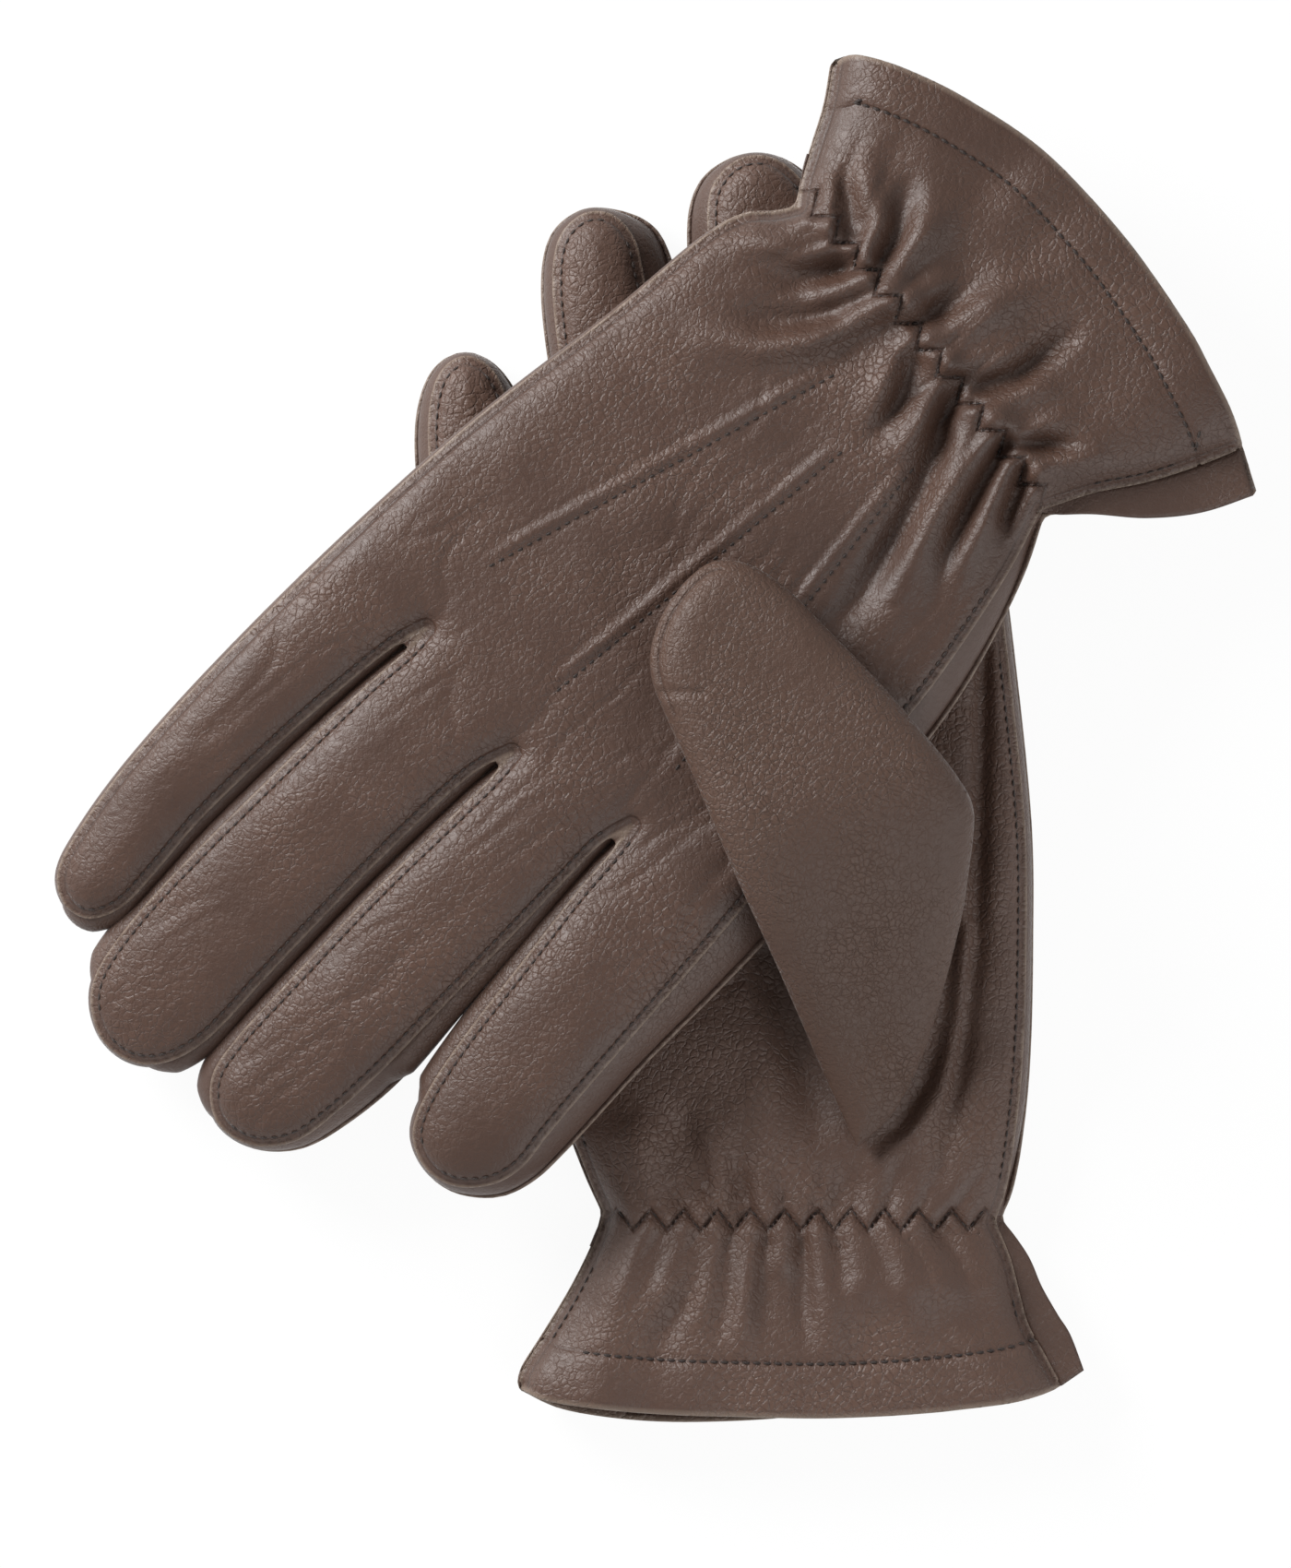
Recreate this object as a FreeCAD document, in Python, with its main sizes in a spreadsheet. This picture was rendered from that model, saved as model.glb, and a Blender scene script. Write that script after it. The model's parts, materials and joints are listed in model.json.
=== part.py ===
import FreeCAD, Part
import math
import os

# A pair of lined leather gloves laid one across the other. The right glove lies palm up.
# The left glove lies on it, back up, and the right thumb folds over the left glove.
# Every glove is drawn in its own pattern frame: wrist centre at x = y = 0, fingers
# towards +Y, index finger on the +X side. Z is the height above the table.

doc = FreeCAD.newDocument("leather_gloves")
sheet = doc.addObject("Spreadsheet::Sheet", "Sizes")

FINGERS = ("index", "middle", "ring", "little")
GAPS = (("index", "middle"), ("middle", "ring"), ("ring", "little"))

# Sizes in millimetres and degrees. half_... is half a full width or height.
SIZES = [
    ("leather_wall", 1.1),
    ("elastic_wall", 0.5),
    ("lining_wall", 1.0),
    ("running_clearance", 0.4),
    ("heel_clearance", 2.5),
    ("thread_height", 0.4),
    ("thread_width", 0.8),
    # cuff, wrist and palm: where each cross-section lies and how far it reaches
    ("cuff_end_y", -52.0),
    ("cuff_end_half_width", 63.0),
    ("cuff_end_half_height", 9.5),
    ("cuff_mid_y", -20.0),
    ("cuff_mid_half_width", 55.0),
    ("cuff_mid_half_height", 9.0),
    ("wrist_half_width", 38.0),
    ("wrist_half_height", 6.8),
    ("heel_y", 14.0),
    ("heel_little_x", -46.5),
    ("heel_index_x", 45.5),
    ("heel_half_height", 7.3),
    ("ball_y", 47.0),
    ("ball_little_x", -60.0),
    ("ball_index_x", 46.5),
    ("palm_half_height", 7.5),
    ("palm_y", 85.0),
    ("palm_little_x", -70.0),
    ("palm_index_x", 46.5),
    ("knuckle_y", 112.0),
    ("knuckle_little_x", -74.5),
    ("knuckle_index_x", 44.0),
    # fingers: centre and half width at the root and at the tip
    ("finger_half_height", 8.0),
    ("finger_root_depth", 16.0),
    ("index_root_x", 31.5),
    ("index_root_y", 112.0),
    ("index_root_half_width", 12.0),
    ("index_tip_x", 22.0),
    ("index_tip_y", 194.0),
    ("index_tip_half_width", 10.5),
    ("middle_root_x", 4.5),
    ("middle_root_y", 118.0),
    ("middle_root_half_width", 13.8),
    ("middle_tip_x", -6.0),
    ("middle_tip_y", 203.0),
    ("middle_tip_half_width", 13.0),
    ("ring_root_x", -25.5),
    ("ring_root_y", 115.0),
    ("ring_root_half_width", 13.5),
    ("ring_tip_x", -34.5),
    ("ring_tip_y", 194.5),
    ("ring_tip_half_width", 13.0),
    ("little_root_x", -56.0),
    ("little_root_y", 108.0),
    ("little_root_half_width", 15.0),
    ("little_tip_x", -69.0),
    ("little_tip_y", 167.0),
    ("little_tip_half_width", 12.2),
    # seams: how far each lies from the middle of the glove's thickness
    ("back_seam_height", 2.5),
    ("palm_seam_height", 3.5),
    ("hem_depth", 9.0),
    ("zigzag_pitch", 6.8),
    ("zigzag_half_height", 2.2),
    ("elastic_half_width", 4.0),
    ("point_height", 1.2),
    ("point_width", 2.6),
    # thumb: stations along its length from the seam at the heel of the hand
    ("thumb_root_x", 12.2),
    ("thumb_root_y", 13.9),
    ("thumb_turn", 14.5),
    ("thumb_length", 122.0),
    ("thumb_heel_at", 15.0),
    ("thumb_heel_across", 6.6),
    ("thumb_heel_half_width", 9.6),
    ("thumb_rise_at", 40.0),
    ("thumb_rise_across", 11.7),
    ("thumb_rise_half_width", 18.7),
    ("thumb_bend_at", 60.0),
    ("thumb_bend_across", 13.4),
    ("thumb_bend_half_width", 24.0),
    ("thumb_shaft_at", 77.0),
    ("thumb_shaft_across", 10.3),
    ("thumb_shaft_half_width", 23.0),
    ("thumb_pad_at", 99.0),
    ("thumb_pad_across", 2.0),
    ("thumb_pad_half_width", 18.6),
    ("thumb_hole_half_length", 11.0),
    ("thumb_hole_half_width", 6.0),
    ("thumb_hole_across", 9.5),
    ("thumb_hole_turn", 78.0),
    ("thumb_hole_reach", 14.0),
    ("folded_thumb_half_height", 6.5),
    ("tucked_thumb_half_height", 4.3),
    ("fold_roll", 14.0),
    # how the pair lies: wrist centres, the turn of the left glove, heights of the middles
    ("right_wrist_x", 29.4),
    ("right_wrist_y", -96.1),
    ("right_middle_z", 7.4),
    ("left_wrist_x", 55.3),
    ("left_wrist_y", 76.3),
    ("left_turn", 127.7),
    ("left_cuff_drop", 2.5),
    ("right_cuff_drop", -1.6),
    ("finger_bend_y", 142.0),
    ("left_finger_droop", 14.0),
    ("ground_depth", 10.0),
]

for number, (name, value) in enumerate(SIZES, start=1):
    sheet.set("A%d" % number, name)
    sheet.set("B%d" % number, str(value))
    sheet.setAlias("B%d" % number, name)
doc.recompute()


def size(name):
    return float(getattr(sheet, name))


LEATHER_INSIDE = size("leather_wall")
LINING_OUTSIDE = LEATHER_INSIDE + size("elastic_wall")
LINING_INSIDE = LINING_OUTSIDE + size("lining_wall")
PALM_FULLNESS = 2.7
FINGER_FULLNESS = 2.3
HEEL_SHARE = 0.55
REACH = 160.0
OUTLINE_POINTS = 16

# The left glove's middle lies above the right glove, its own tucked thumb and its palm.
RIGHT_TOP = size("right_middle_z") + size("finger_half_height")
TUCKED_THUMB_Z = RIGHT_TOP + size("running_clearance") + size("tucked_thumb_half_height")
LEFT_BOTTOM = TUCKED_THUMB_Z + size("tucked_thumb_half_height") + size("running_clearance")
LEFT_MIDDLE_Z = LEFT_BOTTOM + size("finger_half_height")
LEFT_TOP = LEFT_MIDDLE_Z + size("palm_half_height")

GLOVES = {
    "left": {
        "back_up": True,
        "middle": LEFT_MIDDLE_Z,
        "cuff_drop": size("left_cuff_drop"),
        "droop": size("left_finger_droop"),
        "hem": ((58.3, -22.0), (-1.0, -45.0), (-60.2, -35.8)),
    },
    "right": {
        "back_up": False,
        "middle": size("right_middle_z"),
        "cuff_drop": size("right_cuff_drop"),
        "droop": 0.0,
        "hem": ((57.5, -29.6), (0.0, -42.0), (-57.5, -33.0)),
    },
}


def oval(half_width, half_height, fullness, placement):
    """Closed flattened oval in the XZ plane, moved by placement."""
    points = []
    for step in range(OUTLINE_POINTS):
        angle = 2 * math.pi * step / OUTLINE_POINTS
        across = math.copysign(abs(math.cos(angle)) ** (2 / fullness), math.cos(angle))
        up = math.copysign(abs(math.sin(angle)) ** (2 / fullness), math.sin(angle))
        points.append(FreeCAD.Vector(half_width * across, 0, half_height * up))
    curve = Part.BSplineCurve()
    curve.interpolate(Points=points, PeriodicFlag=True)
    wire = Part.Wire([curve.toShape()])
    wire.Placement = placement
    return wire


def middle_height(glove, y):
    """Height of the middle of the glove's thickness at y, as straight runs."""
    if y < 0:
        return glove["middle"] - glove["cuff_drop"] * y / size("cuff_end_y")
    beyond_bend = max(0.0, y - size("finger_bend_y"))
    return glove["middle"] - beyond_bend * math.tan(math.radians(glove["droop"]))


def section(glove, y, little_x, index_x, half_height, inset):
    centre = FreeCAD.Vector((little_x + index_x) / 2, y, middle_height(glove, y))
    half_width = (index_x - little_x) / 2 - inset
    where = FreeCAD.Placement(centre, FreeCAD.Rotation())
    return oval(half_width, half_height - inset, PALM_FULLNESS, where)


def wrist_section(glove, inset):
    half = size("wrist_half_width")
    return section(glove, 0, -half, half, size("wrist_half_height"), inset)


def palm_solid(glove, inset):
    stations = [
        wrist_section(glove, inset),
        section(glove, size("heel_y"), size("heel_little_x"), size("heel_index_x"),
                size("heel_half_height"), inset),
        section(glove, size("ball_y"), size("ball_little_x"), size("ball_index_x"),
                size("palm_half_height"), inset),
        section(glove, size("palm_y"), size("palm_little_x"), size("palm_index_x"),
                size("palm_half_height"), inset),
        section(glove, size("knuckle_y") - inset, size("knuckle_little_x"),
                size("knuckle_index_x"), size("palm_half_height"), inset),
    ]
    return Part.makeLoft(stations, True, False)


def cuff_solid(glove, inset):
    stations = [wrist_section(glove, inset)]
    for name in ("cuff_mid", "cuff_end"):
        half = size(name + "_half_width")
        height = size(name + "_half_height")
        stations.append(section(glove, size(name + "_y"), -half, half, height, inset))
    return Part.makeLoft(stations, True, False)


def tapered(stations, tip):
    """Loft through ovals (distance, half width, half height, placement) to a point."""
    wires = []
    for half_width, half_height, placement in stations:
        wires.append(oval(half_width, half_height, FINGER_FULLNESS, placement))
    wires.append(Part.Vertex(tip))
    return Part.makeLoft(wires, True, False)


def finger_solid(glove, finger, inset):
    root = FreeCAD.Vector(size(finger + "_root_x"), size(finger + "_root_y"), 0)
    tip = FreeCAD.Vector(size(finger + "_tip_x"), size(finger + "_tip_y"), 0)
    along = (tip - root).normalize()
    start = root - along * size("finger_root_depth")
    turn = math.degrees(math.atan2(-along.x, along.y))
    frame = FreeCAD.Placement(start, FreeCAD.Rotation(FreeCAD.Vector(0, 0, 1), turn))
    root_half = size(finger + "_root_half_width") - inset
    tip_half = size(finger + "_tip_half_width") - inset
    height = size("finger_half_height") - inset
    tip_at = (tip - root).Length + size("finger_root_depth")
    root_height = size("palm_half_height") - inset - 0.8
    profile = [
        (0.0, root_half - 0.5, root_height),
        (tip_at * 0.3, root_half, height),
        (tip_at * 0.65, (root_half + tip_half) / 2, height),
        (tip_at, tip_half, height * 0.95),
        (tip_at + tip_half * 0.5, tip_half * 0.87, height * 0.84),
        (tip_at + tip_half * 0.85, tip_half * 0.54, height * 0.52),
    ]
    stations = []
    for distance, half_width, half_height in profile:
        centre = frame.multVec(FreeCAD.Vector(0, distance, 0))
        centre.z = middle_height(glove, centre.y)
        stations.append((half_width, half_height, FreeCAD.Placement(centre, frame.Rotation)))
    end = frame.multVec(FreeCAD.Vector(0, tip_at + tip_half, 0))
    end.z = middle_height(glove, end.y)
    return tapered(stations, end)


def hand_solid(glove, inset):
    """Palm, cuff and four fingers as one solid, drawn in by inset all round."""
    solids = [cuff_solid(glove, inset)]
    for finger in FINGERS:
        solids.append(finger_solid(glove, finger, inset))
    return palm_solid(glove, inset).fuse(solids)


def thumb_frame():
    root = FreeCAD.Vector(size("thumb_root_x"), size("thumb_root_y"), 0)
    return FreeCAD.Placement(root, FreeCAD.Rotation(FreeCAD.Vector(0, 0, 1), size("thumb_turn")))


def thumb_solid(half_height, heel_z, rise, roll, inset):
    """Thumb pouch. It starts at heel_z, rises by rise to its shaft and rolls at the bend."""
    frame = thumb_frame()
    length = size("thumb_length")
    tip_half = size("thumb_pad_half_width")
    profile = [
        ("thumb_heel", HEEL_SHARE, 0.0, 0.0),
        ("thumb_rise", 0.9, 0.44, 0.6),
        ("thumb_bend", 1.0, 0.9, 0.3),
        ("thumb_shaft", 1.0, 1.0, 0.0),
        ("thumb_pad", 1.0, 1.0, 0.0),
    ]
    stations = []
    for name, share, lift, twist in profile:
        half_width = size(name + "_half_width") - inset
        centre = FreeCAD.Vector(size(name + "_across"), size(name + "_at"), heel_z + rise * lift)
        where = FreeCAD.Placement(
            centre, FreeCAD.Rotation(FreeCAD.Vector(0, 1, 0), roll * twist))
        stations.append((half_width, half_height * share - inset, frame * where))
    end = length - inset
    for share, width in ((0.6, 0.76), (0.9, 0.42)):
        distance = size("thumb_pad_at") + (end - size("thumb_pad_at")) * share
        where = FreeCAD.Placement(
            FreeCAD.Vector(1.2 - share, distance, heel_z + rise), FreeCAD.Rotation())
        stations.append(((tip_half - inset) * width, (half_height - inset) * width, frame * where))
    tip = frame.multVec(FreeCAD.Vector(0, end, heel_z + rise))
    return tapered(stations, tip)


def thumb_hole(low, high):
    """Upright oval column through the seam where the thumb opens into the palm."""
    along = size("thumb_heel_at") + size("thumb_hole_half_length")
    middle = FreeCAD.Vector(size("thumb_hole_across"), along, low)
    ring = Part.Ellipse(
        FreeCAD.Vector(), size("thumb_hole_half_length"), size("thumb_hole_half_width"))
    face = Part.Face(Part.Wire([ring.toShape()]))
    turned = FreeCAD.Rotation(FreeCAD.Vector(0, 0, 1), size("thumb_hole_turn"))
    face.Placement = thumb_frame() * FreeCAD.Placement(middle, turned)
    return face.extrude(FreeCAD.Vector(0, 0, high - low))


def above(glove, offset):
    """Everything above the glove's middle line, raised by offset."""
    lift = FreeCAD.Vector(0, 0, offset)
    line = []
    bend = size("finger_bend_y")
    for y in (size("cuff_end_y") * 2, 0, bend, bend + REACH):
        line.append(FreeCAD.Vector(-REACH, y, middle_height(glove, y)) + lift)
    high = REACH
    line.append(FreeCAD.Vector(-REACH, line[-1].y, high))
    line.append(FreeCAD.Vector(-REACH, line[0].y, high))
    face = Part.Face(Part.makePolygon(line + [line[0]]))
    return face.extrude(FreeCAD.Vector(2 * REACH, 0, 0))


def column(points):
    """Upright prism over a plan outline."""
    corners = [FreeCAD.Vector(x, y, -REACH) for x, y in points]
    face = Part.Face(Part.makePolygon(corners + [corners[0]]))
    return face.extrude(FreeCAD.Vector(0, 0, 2 * REACH))


def beyond_hem(glove, depth):
    """All that lies past the hem's arc, or past a line depth inside it."""
    ends = [FreeCAD.Vector(x, y, 0) for x, y in glove["hem"]]
    curve = Part.Arc(*ends).toShape().Curve
    ring = Part.Circle(curve.Center, FreeCAD.Vector(0, 0, 1), curve.Radius - depth)
    face = Part.Face(Part.Wire([ring.toShape()]))
    face.translate(FreeCAD.Vector(0, 0, -REACH))
    inside = face.extrude(FreeCAD.Vector(0, 0, 2 * REACH))
    far = column(((-REACH, 5), (REACH, 5), (REACH, -REACH), (-REACH, -REACH)))
    return far.cut(inside)


def gap_column(glove, first, second):
    """Prism between the middle lines of two neighbouring fingers, past their crotch."""
    corners = []
    for finger, end in ((first, 0), (first, 1), (second, 1), (second, 0)):
        root = FreeCAD.Vector(size(finger + "_root_x"), size(finger + "_root_y"), 0)
        tip = FreeCAD.Vector(size(finger + "_tip_x"), size(finger + "_tip_y"), 0)
        along = (tip - root).normalize()
        point = tip if end else root - along * 6
        corners.append((point.x, point.y))
    return column(corners)


def zigzag():
    """Plan of the zigzag row over the wrist elastic, as a thick zigzag line."""
    half = size("wrist_half_width") + 4
    pitch = size("zigzag_pitch")
    count = 2 * int(half / pitch) + 2
    upper = []
    lower = []
    for step in range(2 * count + 1):
        x = (step - count) * pitch / 2
        y = size("zigzag_half_height") * (1 if step % 2 else -1)
        upper.append((x, y + size("thread_width") / 2))
        lower.append((x, y - size("thread_width") / 2))
    return column(upper + lower[::-1])


def point_walls(glove):
    """Three upright plates over the raised points, which run together at the wrist."""
    walls = []
    for (x1, y1), (x2, y2) in (((23, 96), (10.9, 16.4)), ((-5, 101), (-1.9, 24.2)),
                               ((-32, 92), (-12.9, 15.4))):
        start = FreeCAD.Vector(x1, y1, 0)
        end = FreeCAD.Vector(x2, y2, 0)
        side = (end - start).normalize().cross(FreeCAD.Vector(0, 0, 1)) * size("point_width") / 2
        corners = [start + side, end + side, end - side, start - side]
        wall = column([(p.x, p.y) for p in corners])
        walls.append(wall)
    keep_side = above(glove, 0)
    result = Part.makeCompound(walls)
    return result.common(keep_side) if glove["back_up"] else result.cut(keep_side)


def raised_thread(glove, plan):
    """Thread over the skin of the palm and cuff, all round, where the plan prism passes."""
    over = -size("thread_height")
    layer = palm_solid(glove, over).fuse(cuff_solid(glove, over)).common(plan)
    thread = layer.cut(palm_solid(glove, 0).fuse(cuff_solid(glove, 0)))
    if thread.Volume < 0:
        thread.reverse()
    return thread


def solid_object(name, shape):
    """A soft shape that no primitive or sketch gives, kept in the document."""
    item = doc.addObject("Part::Feature", name)
    item.Label = name
    item.Shape = shape
    return item


def boolean(kind, name, base, tool):
    item = doc.addObject("Part::" + kind, name)
    item.Label = name
    item.Base = base
    item.Tool = tool
    item.Refine = False
    return item


NODES = []


def node(item, body):
    NODES.append((item, body))
    return item


def make_glove(side):
    glove = GLOVES[side]
    tag = side + "_"
    hem = solid_object(tag + "past_hem", beyond_hem(glove, 0))
    outside = solid_object(tag + "outside", hand_solid(glove, 0))
    inside = solid_object(tag + "leather_inside", hand_solid(glove, LEATHER_INSIDE))
    walls = boolean("Cut", tag + "walls", outside, inside)
    shell = boolean("Cut", tag + "shell", walls, hem)
    if not glove["back_up"]:
        ground = doc.addObject("Part::Box", tag + "ground")
        ground.Length = 3 * REACH
        ground.Width = 3 * REACH
        ground.setExpression("Height", "Sizes.ground_depth * 1 mm")
        ground.Placement.Base = FreeCAD.Vector(-1.5 * REACH, -1.5 * REACH, -size("ground_depth"))
        shell = boolean("Cut", tag + "pressed_shell", shell, ground)

    turn = 1 if glove["back_up"] else -1
    back_space = above(glove, turn * size("back_seam_height"))
    palm_space = above(glove, -turn * size("palm_seam_height"))
    band = palm_space.cut(back_space) if glove["back_up"] else back_space.cut(palm_space)
    back_cut = solid_object(tag + "back_space", back_space)
    if glove["back_up"]:
        back = boolean("Common", tag + "back_leather", shell, back_cut)
        rest = boolean("Cut", tag + "palm_leather", shell, back_cut)
    else:
        back = boolean("Cut", tag + "back_leather", shell, back_cut)
        rest = boolean("Common", tag + "palm_leather", shell, back_cut)

    raised = palm_solid(glove, -size("point_height"))
    ridges = solid_object(tag + "points", point_walls(glove).common(raised).cut(palm_solid(glove, 0)))
    joined = boolean("Fuse", tag + "back_panel", back, ridges)
    if not glove["back_up"]:
        joined.Label = tag + "back_with_points"
        joined = boolean("Cut", tag + "pressed_back", joined, ground)
        joined.Label = tag + "back_panel"
    node(joined, side)

    spaces = []
    for first, second in GAPS:
        space = gap_column(glove, first, second).common(band)
        spaces.append(space)
        tool = solid_object(tag + "gap_" + first + "_" + second, space)
        node(boolean("Common", tag + "fourchette_" + first + "_" + second, shell, tool), side)
    taken = solid_object(tag + "fourchette_spaces", Part.makeCompound(spaces))
    outward = size("thumb_hole_reach") * (-1 if glove["back_up"] else 1)
    ends = sorted((glove["middle"], glove["middle"] + outward))
    below = solid_object(tag + "hole_side", thumb_hole(*ends))
    palm = boolean("Cut", tag + "palm_no_gussets", rest, taken)
    node(boolean("Cut", tag + "palm_panel", palm, below), side)

    lining_outside = solid_object(tag + "lining_outside", hand_solid(glove, LINING_OUTSIDE))
    lining_inside = solid_object(tag + "lining_inside", hand_solid(glove, LINING_INSIDE))
    bag = boolean("Cut", tag + "lining_walls", lining_outside, lining_inside)
    lining_hem = solid_object(tag + "past_lining", beyond_hem(glove, size("hem_depth")))
    trimmed = boolean("Cut", tag + "lining_trimmed", bag, lining_hem)
    node(boolean("Cut", tag + "lining", trimmed, below), side)

    strip = doc.addObject("Part::Box", tag + "elastic_strip")
    strip.Length = 2 * REACH
    strip.Height = 2 * REACH
    strip.setExpression("Width", "2 * Sizes.elastic_half_width * 1 mm")
    strip.Placement.Base = FreeCAD.Vector(-REACH, -size("elastic_half_width"), -REACH)
    pair_outside = palm_solid(glove, LEATHER_INSIDE).fuse(cuff_solid(glove, LEATHER_INSIDE))
    pair_inside = palm_solid(glove, LINING_OUTSIDE).fuse(cuff_solid(glove, LINING_OUTSIDE))
    wrist_outside = solid_object(tag + "wrist_outside", pair_outside)
    elastic = boolean("Common", tag + "elastic_ring", wrist_outside, strip)
    elastic_bore = solid_object(tag + "elastic_bore", pair_inside)
    node(boolean("Cut", tag + "wrist_elastic", elastic, elastic_bore), side)

    zigzag_row = solid_object(tag + "zigzag_thread", raised_thread(glove, zigzag()))
    inner = size("hem_depth")
    row = beyond_hem(glove, inner + size("thread_width")).cut(beyond_hem(glove, inner))
    hem_row = solid_object(tag + "hem_thread", raised_thread(glove, row))
    if not glove["back_up"]:
        zigzag_row = boolean("Cut", tag + "zigzag_pressed", zigzag_row, ground)
        hem_row = boolean("Cut", tag + "hem_pressed", hem_row, ground)
    zigzag_row.Label = tag + "zigzag_stitching"
    hem_row.Label = tag + "hem_stitching"
    node(zigzag_row, side)
    node(hem_row, side)

    if glove["back_up"]:
        height = size("tucked_thumb_half_height")
        heel_z = TUCKED_THUMB_Z
        rise = 0.0
        roll = 0.0
        body = side
    else:
        height = size("folded_thumb_half_height")
        seat = glove["middle"] + size("palm_half_height") + size("heel_clearance")
        heel_z = seat + height * HEEL_SHARE
        rise = LEFT_TOP + size("point_height") + size("running_clearance") + height - heel_z
        roll = size("fold_roll")
        body = "right_thumb"
    outer = solid_object(tag + "thumb_outside", thumb_solid(height, heel_z, rise, roll, 0))
    hollow = thumb_solid(height, heel_z, rise, roll, LEATHER_INSIDE)
    inner = solid_object(tag + "thumb_inside", hollow)
    pouch = boolean("Cut", tag + "thumb_pouch", outer, inner)
    ends = sorted((heel_z, heel_z - outward))
    mouth = solid_object(tag + "thumb_mouth", thumb_hole(*ends))
    node(boolean("Cut", tag + "thumb", pouch, mouth), body)
    bag = thumb_solid(height, heel_z, rise, roll, LEATHER_INSIDE + 0.05)
    bag_inside = thumb_solid(height, heel_z, rise, roll, LEATHER_INSIDE + size("lining_wall"))
    bag_object = solid_object(tag + "thumb_bag", bag)
    bag_hollow = solid_object(tag + "thumb_bag_inside", bag_inside)
    sleeve = boolean("Cut", tag + "thumb_sleeve", bag_object, bag_hollow)
    node(boolean("Cut", tag + "thumb_lining", sleeve, mouth), body)


make_glove("right")
make_glove("left")
doc.recompute()
for item in doc.Objects:
    if "Invalid" in item.State or "Error" in item.State:
        raise SystemExit("%s failed: %s" % (item.Label, item.State))

# Each glove goes to its place in the pair. The origin is the middle of the pair's
# box in plan, on the table.
PLACES = {
    "left": FreeCAD.Placement(
        FreeCAD.Vector(size("left_wrist_x"), size("left_wrist_y"), 0),
        FreeCAD.Rotation(FreeCAD.Vector(0, 0, 1), size("left_turn"))),
    "right": FreeCAD.Placement(
        FreeCAD.Vector(size("right_wrist_x"), size("right_wrist_y"), 0), FreeCAD.Rotation()),
}
PLACES["right_thumb"] = PLACES["right"]
for item, body in NODES:
    item.Placement = PLACES[body]
box = FreeCAD.BoundBox()
for item, body in NODES:
    box.add(item.Shape.optimalBoundingBox(False))
shift = FreeCAD.Placement(FreeCAD.Vector(-box.Center.x, -box.Center.y, 0), FreeCAD.Rotation())
for item, body in NODES:
    item.Placement = shift * PLACES[body]

os.makedirs("parts", exist_ok=True)
for item, body in NODES:
    if item.Shape.isNull() or not item.Shape.isValid():
        raise SystemExit("%s has no valid shape" % item.Label)
for item, body in NODES:
    item.Shape.exportStep("parts/%s.step" % item.Label)
    print(item.Label, len(item.Shape.Solids), round(item.Shape.Volume, 1))
print("shift", round(-box.Center.x, 2), round(-box.Center.y, 2))
print("box", [round(v, 1) for v in (box.XLength, box.YLength, box.ZLength)])
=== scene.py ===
import json
import math
import bpy
import numpy as np
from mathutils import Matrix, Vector
from mathutils.kdtree import KDTree


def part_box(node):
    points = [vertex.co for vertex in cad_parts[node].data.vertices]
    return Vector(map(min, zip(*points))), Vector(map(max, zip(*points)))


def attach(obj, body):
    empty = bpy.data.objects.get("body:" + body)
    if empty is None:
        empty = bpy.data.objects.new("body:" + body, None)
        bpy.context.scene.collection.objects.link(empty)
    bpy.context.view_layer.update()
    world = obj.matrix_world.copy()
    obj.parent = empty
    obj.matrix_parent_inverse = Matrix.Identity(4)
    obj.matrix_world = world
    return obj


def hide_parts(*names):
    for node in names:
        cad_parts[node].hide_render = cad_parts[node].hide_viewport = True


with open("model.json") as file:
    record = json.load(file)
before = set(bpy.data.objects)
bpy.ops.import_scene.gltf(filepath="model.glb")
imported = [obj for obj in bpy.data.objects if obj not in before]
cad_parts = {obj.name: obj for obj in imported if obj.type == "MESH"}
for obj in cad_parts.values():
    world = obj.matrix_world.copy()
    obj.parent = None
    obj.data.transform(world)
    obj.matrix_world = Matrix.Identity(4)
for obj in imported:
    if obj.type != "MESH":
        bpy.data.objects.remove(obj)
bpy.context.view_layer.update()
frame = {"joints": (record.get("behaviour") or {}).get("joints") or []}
mm = 0.001  # the gloves' own lengths below are in millimetres, and the studio's in metres

# the left glove lies along its slide joint, and each pattern starts at the middle of its wrist elastic
slideJoint = next(j for j in frame["joints"] if j["name"] == "left_glove_slide")
leftTurn = math.atan2(slideJoint["axis"][1], slideJoint["axis"][0])


def gloveFrame(side, turn):
    low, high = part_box(side + "_wrist_elastic")
    return {"x": (low.x + high.x) / 2, "y": (low.y + high.y) / 2, "z": (low.z + high.z) / 2, "turn": turn}


gloveAt = {"left": gloveFrame("left", leftTurn), "right": gloveFrame("right", 0.0)}

# the left fingers hang to the table past fingerBend, and the cuffs droop or rise towards the hem
lie = {
    "fingerDroop": {"left": math.tan(math.radians(14)), "right": 0.0}, "fingerBend": 142, "bendEase": 14,
    "cuffDroop": {"left": 2.5, "right": -1.6}, "cuffLength": 52,
}

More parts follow.
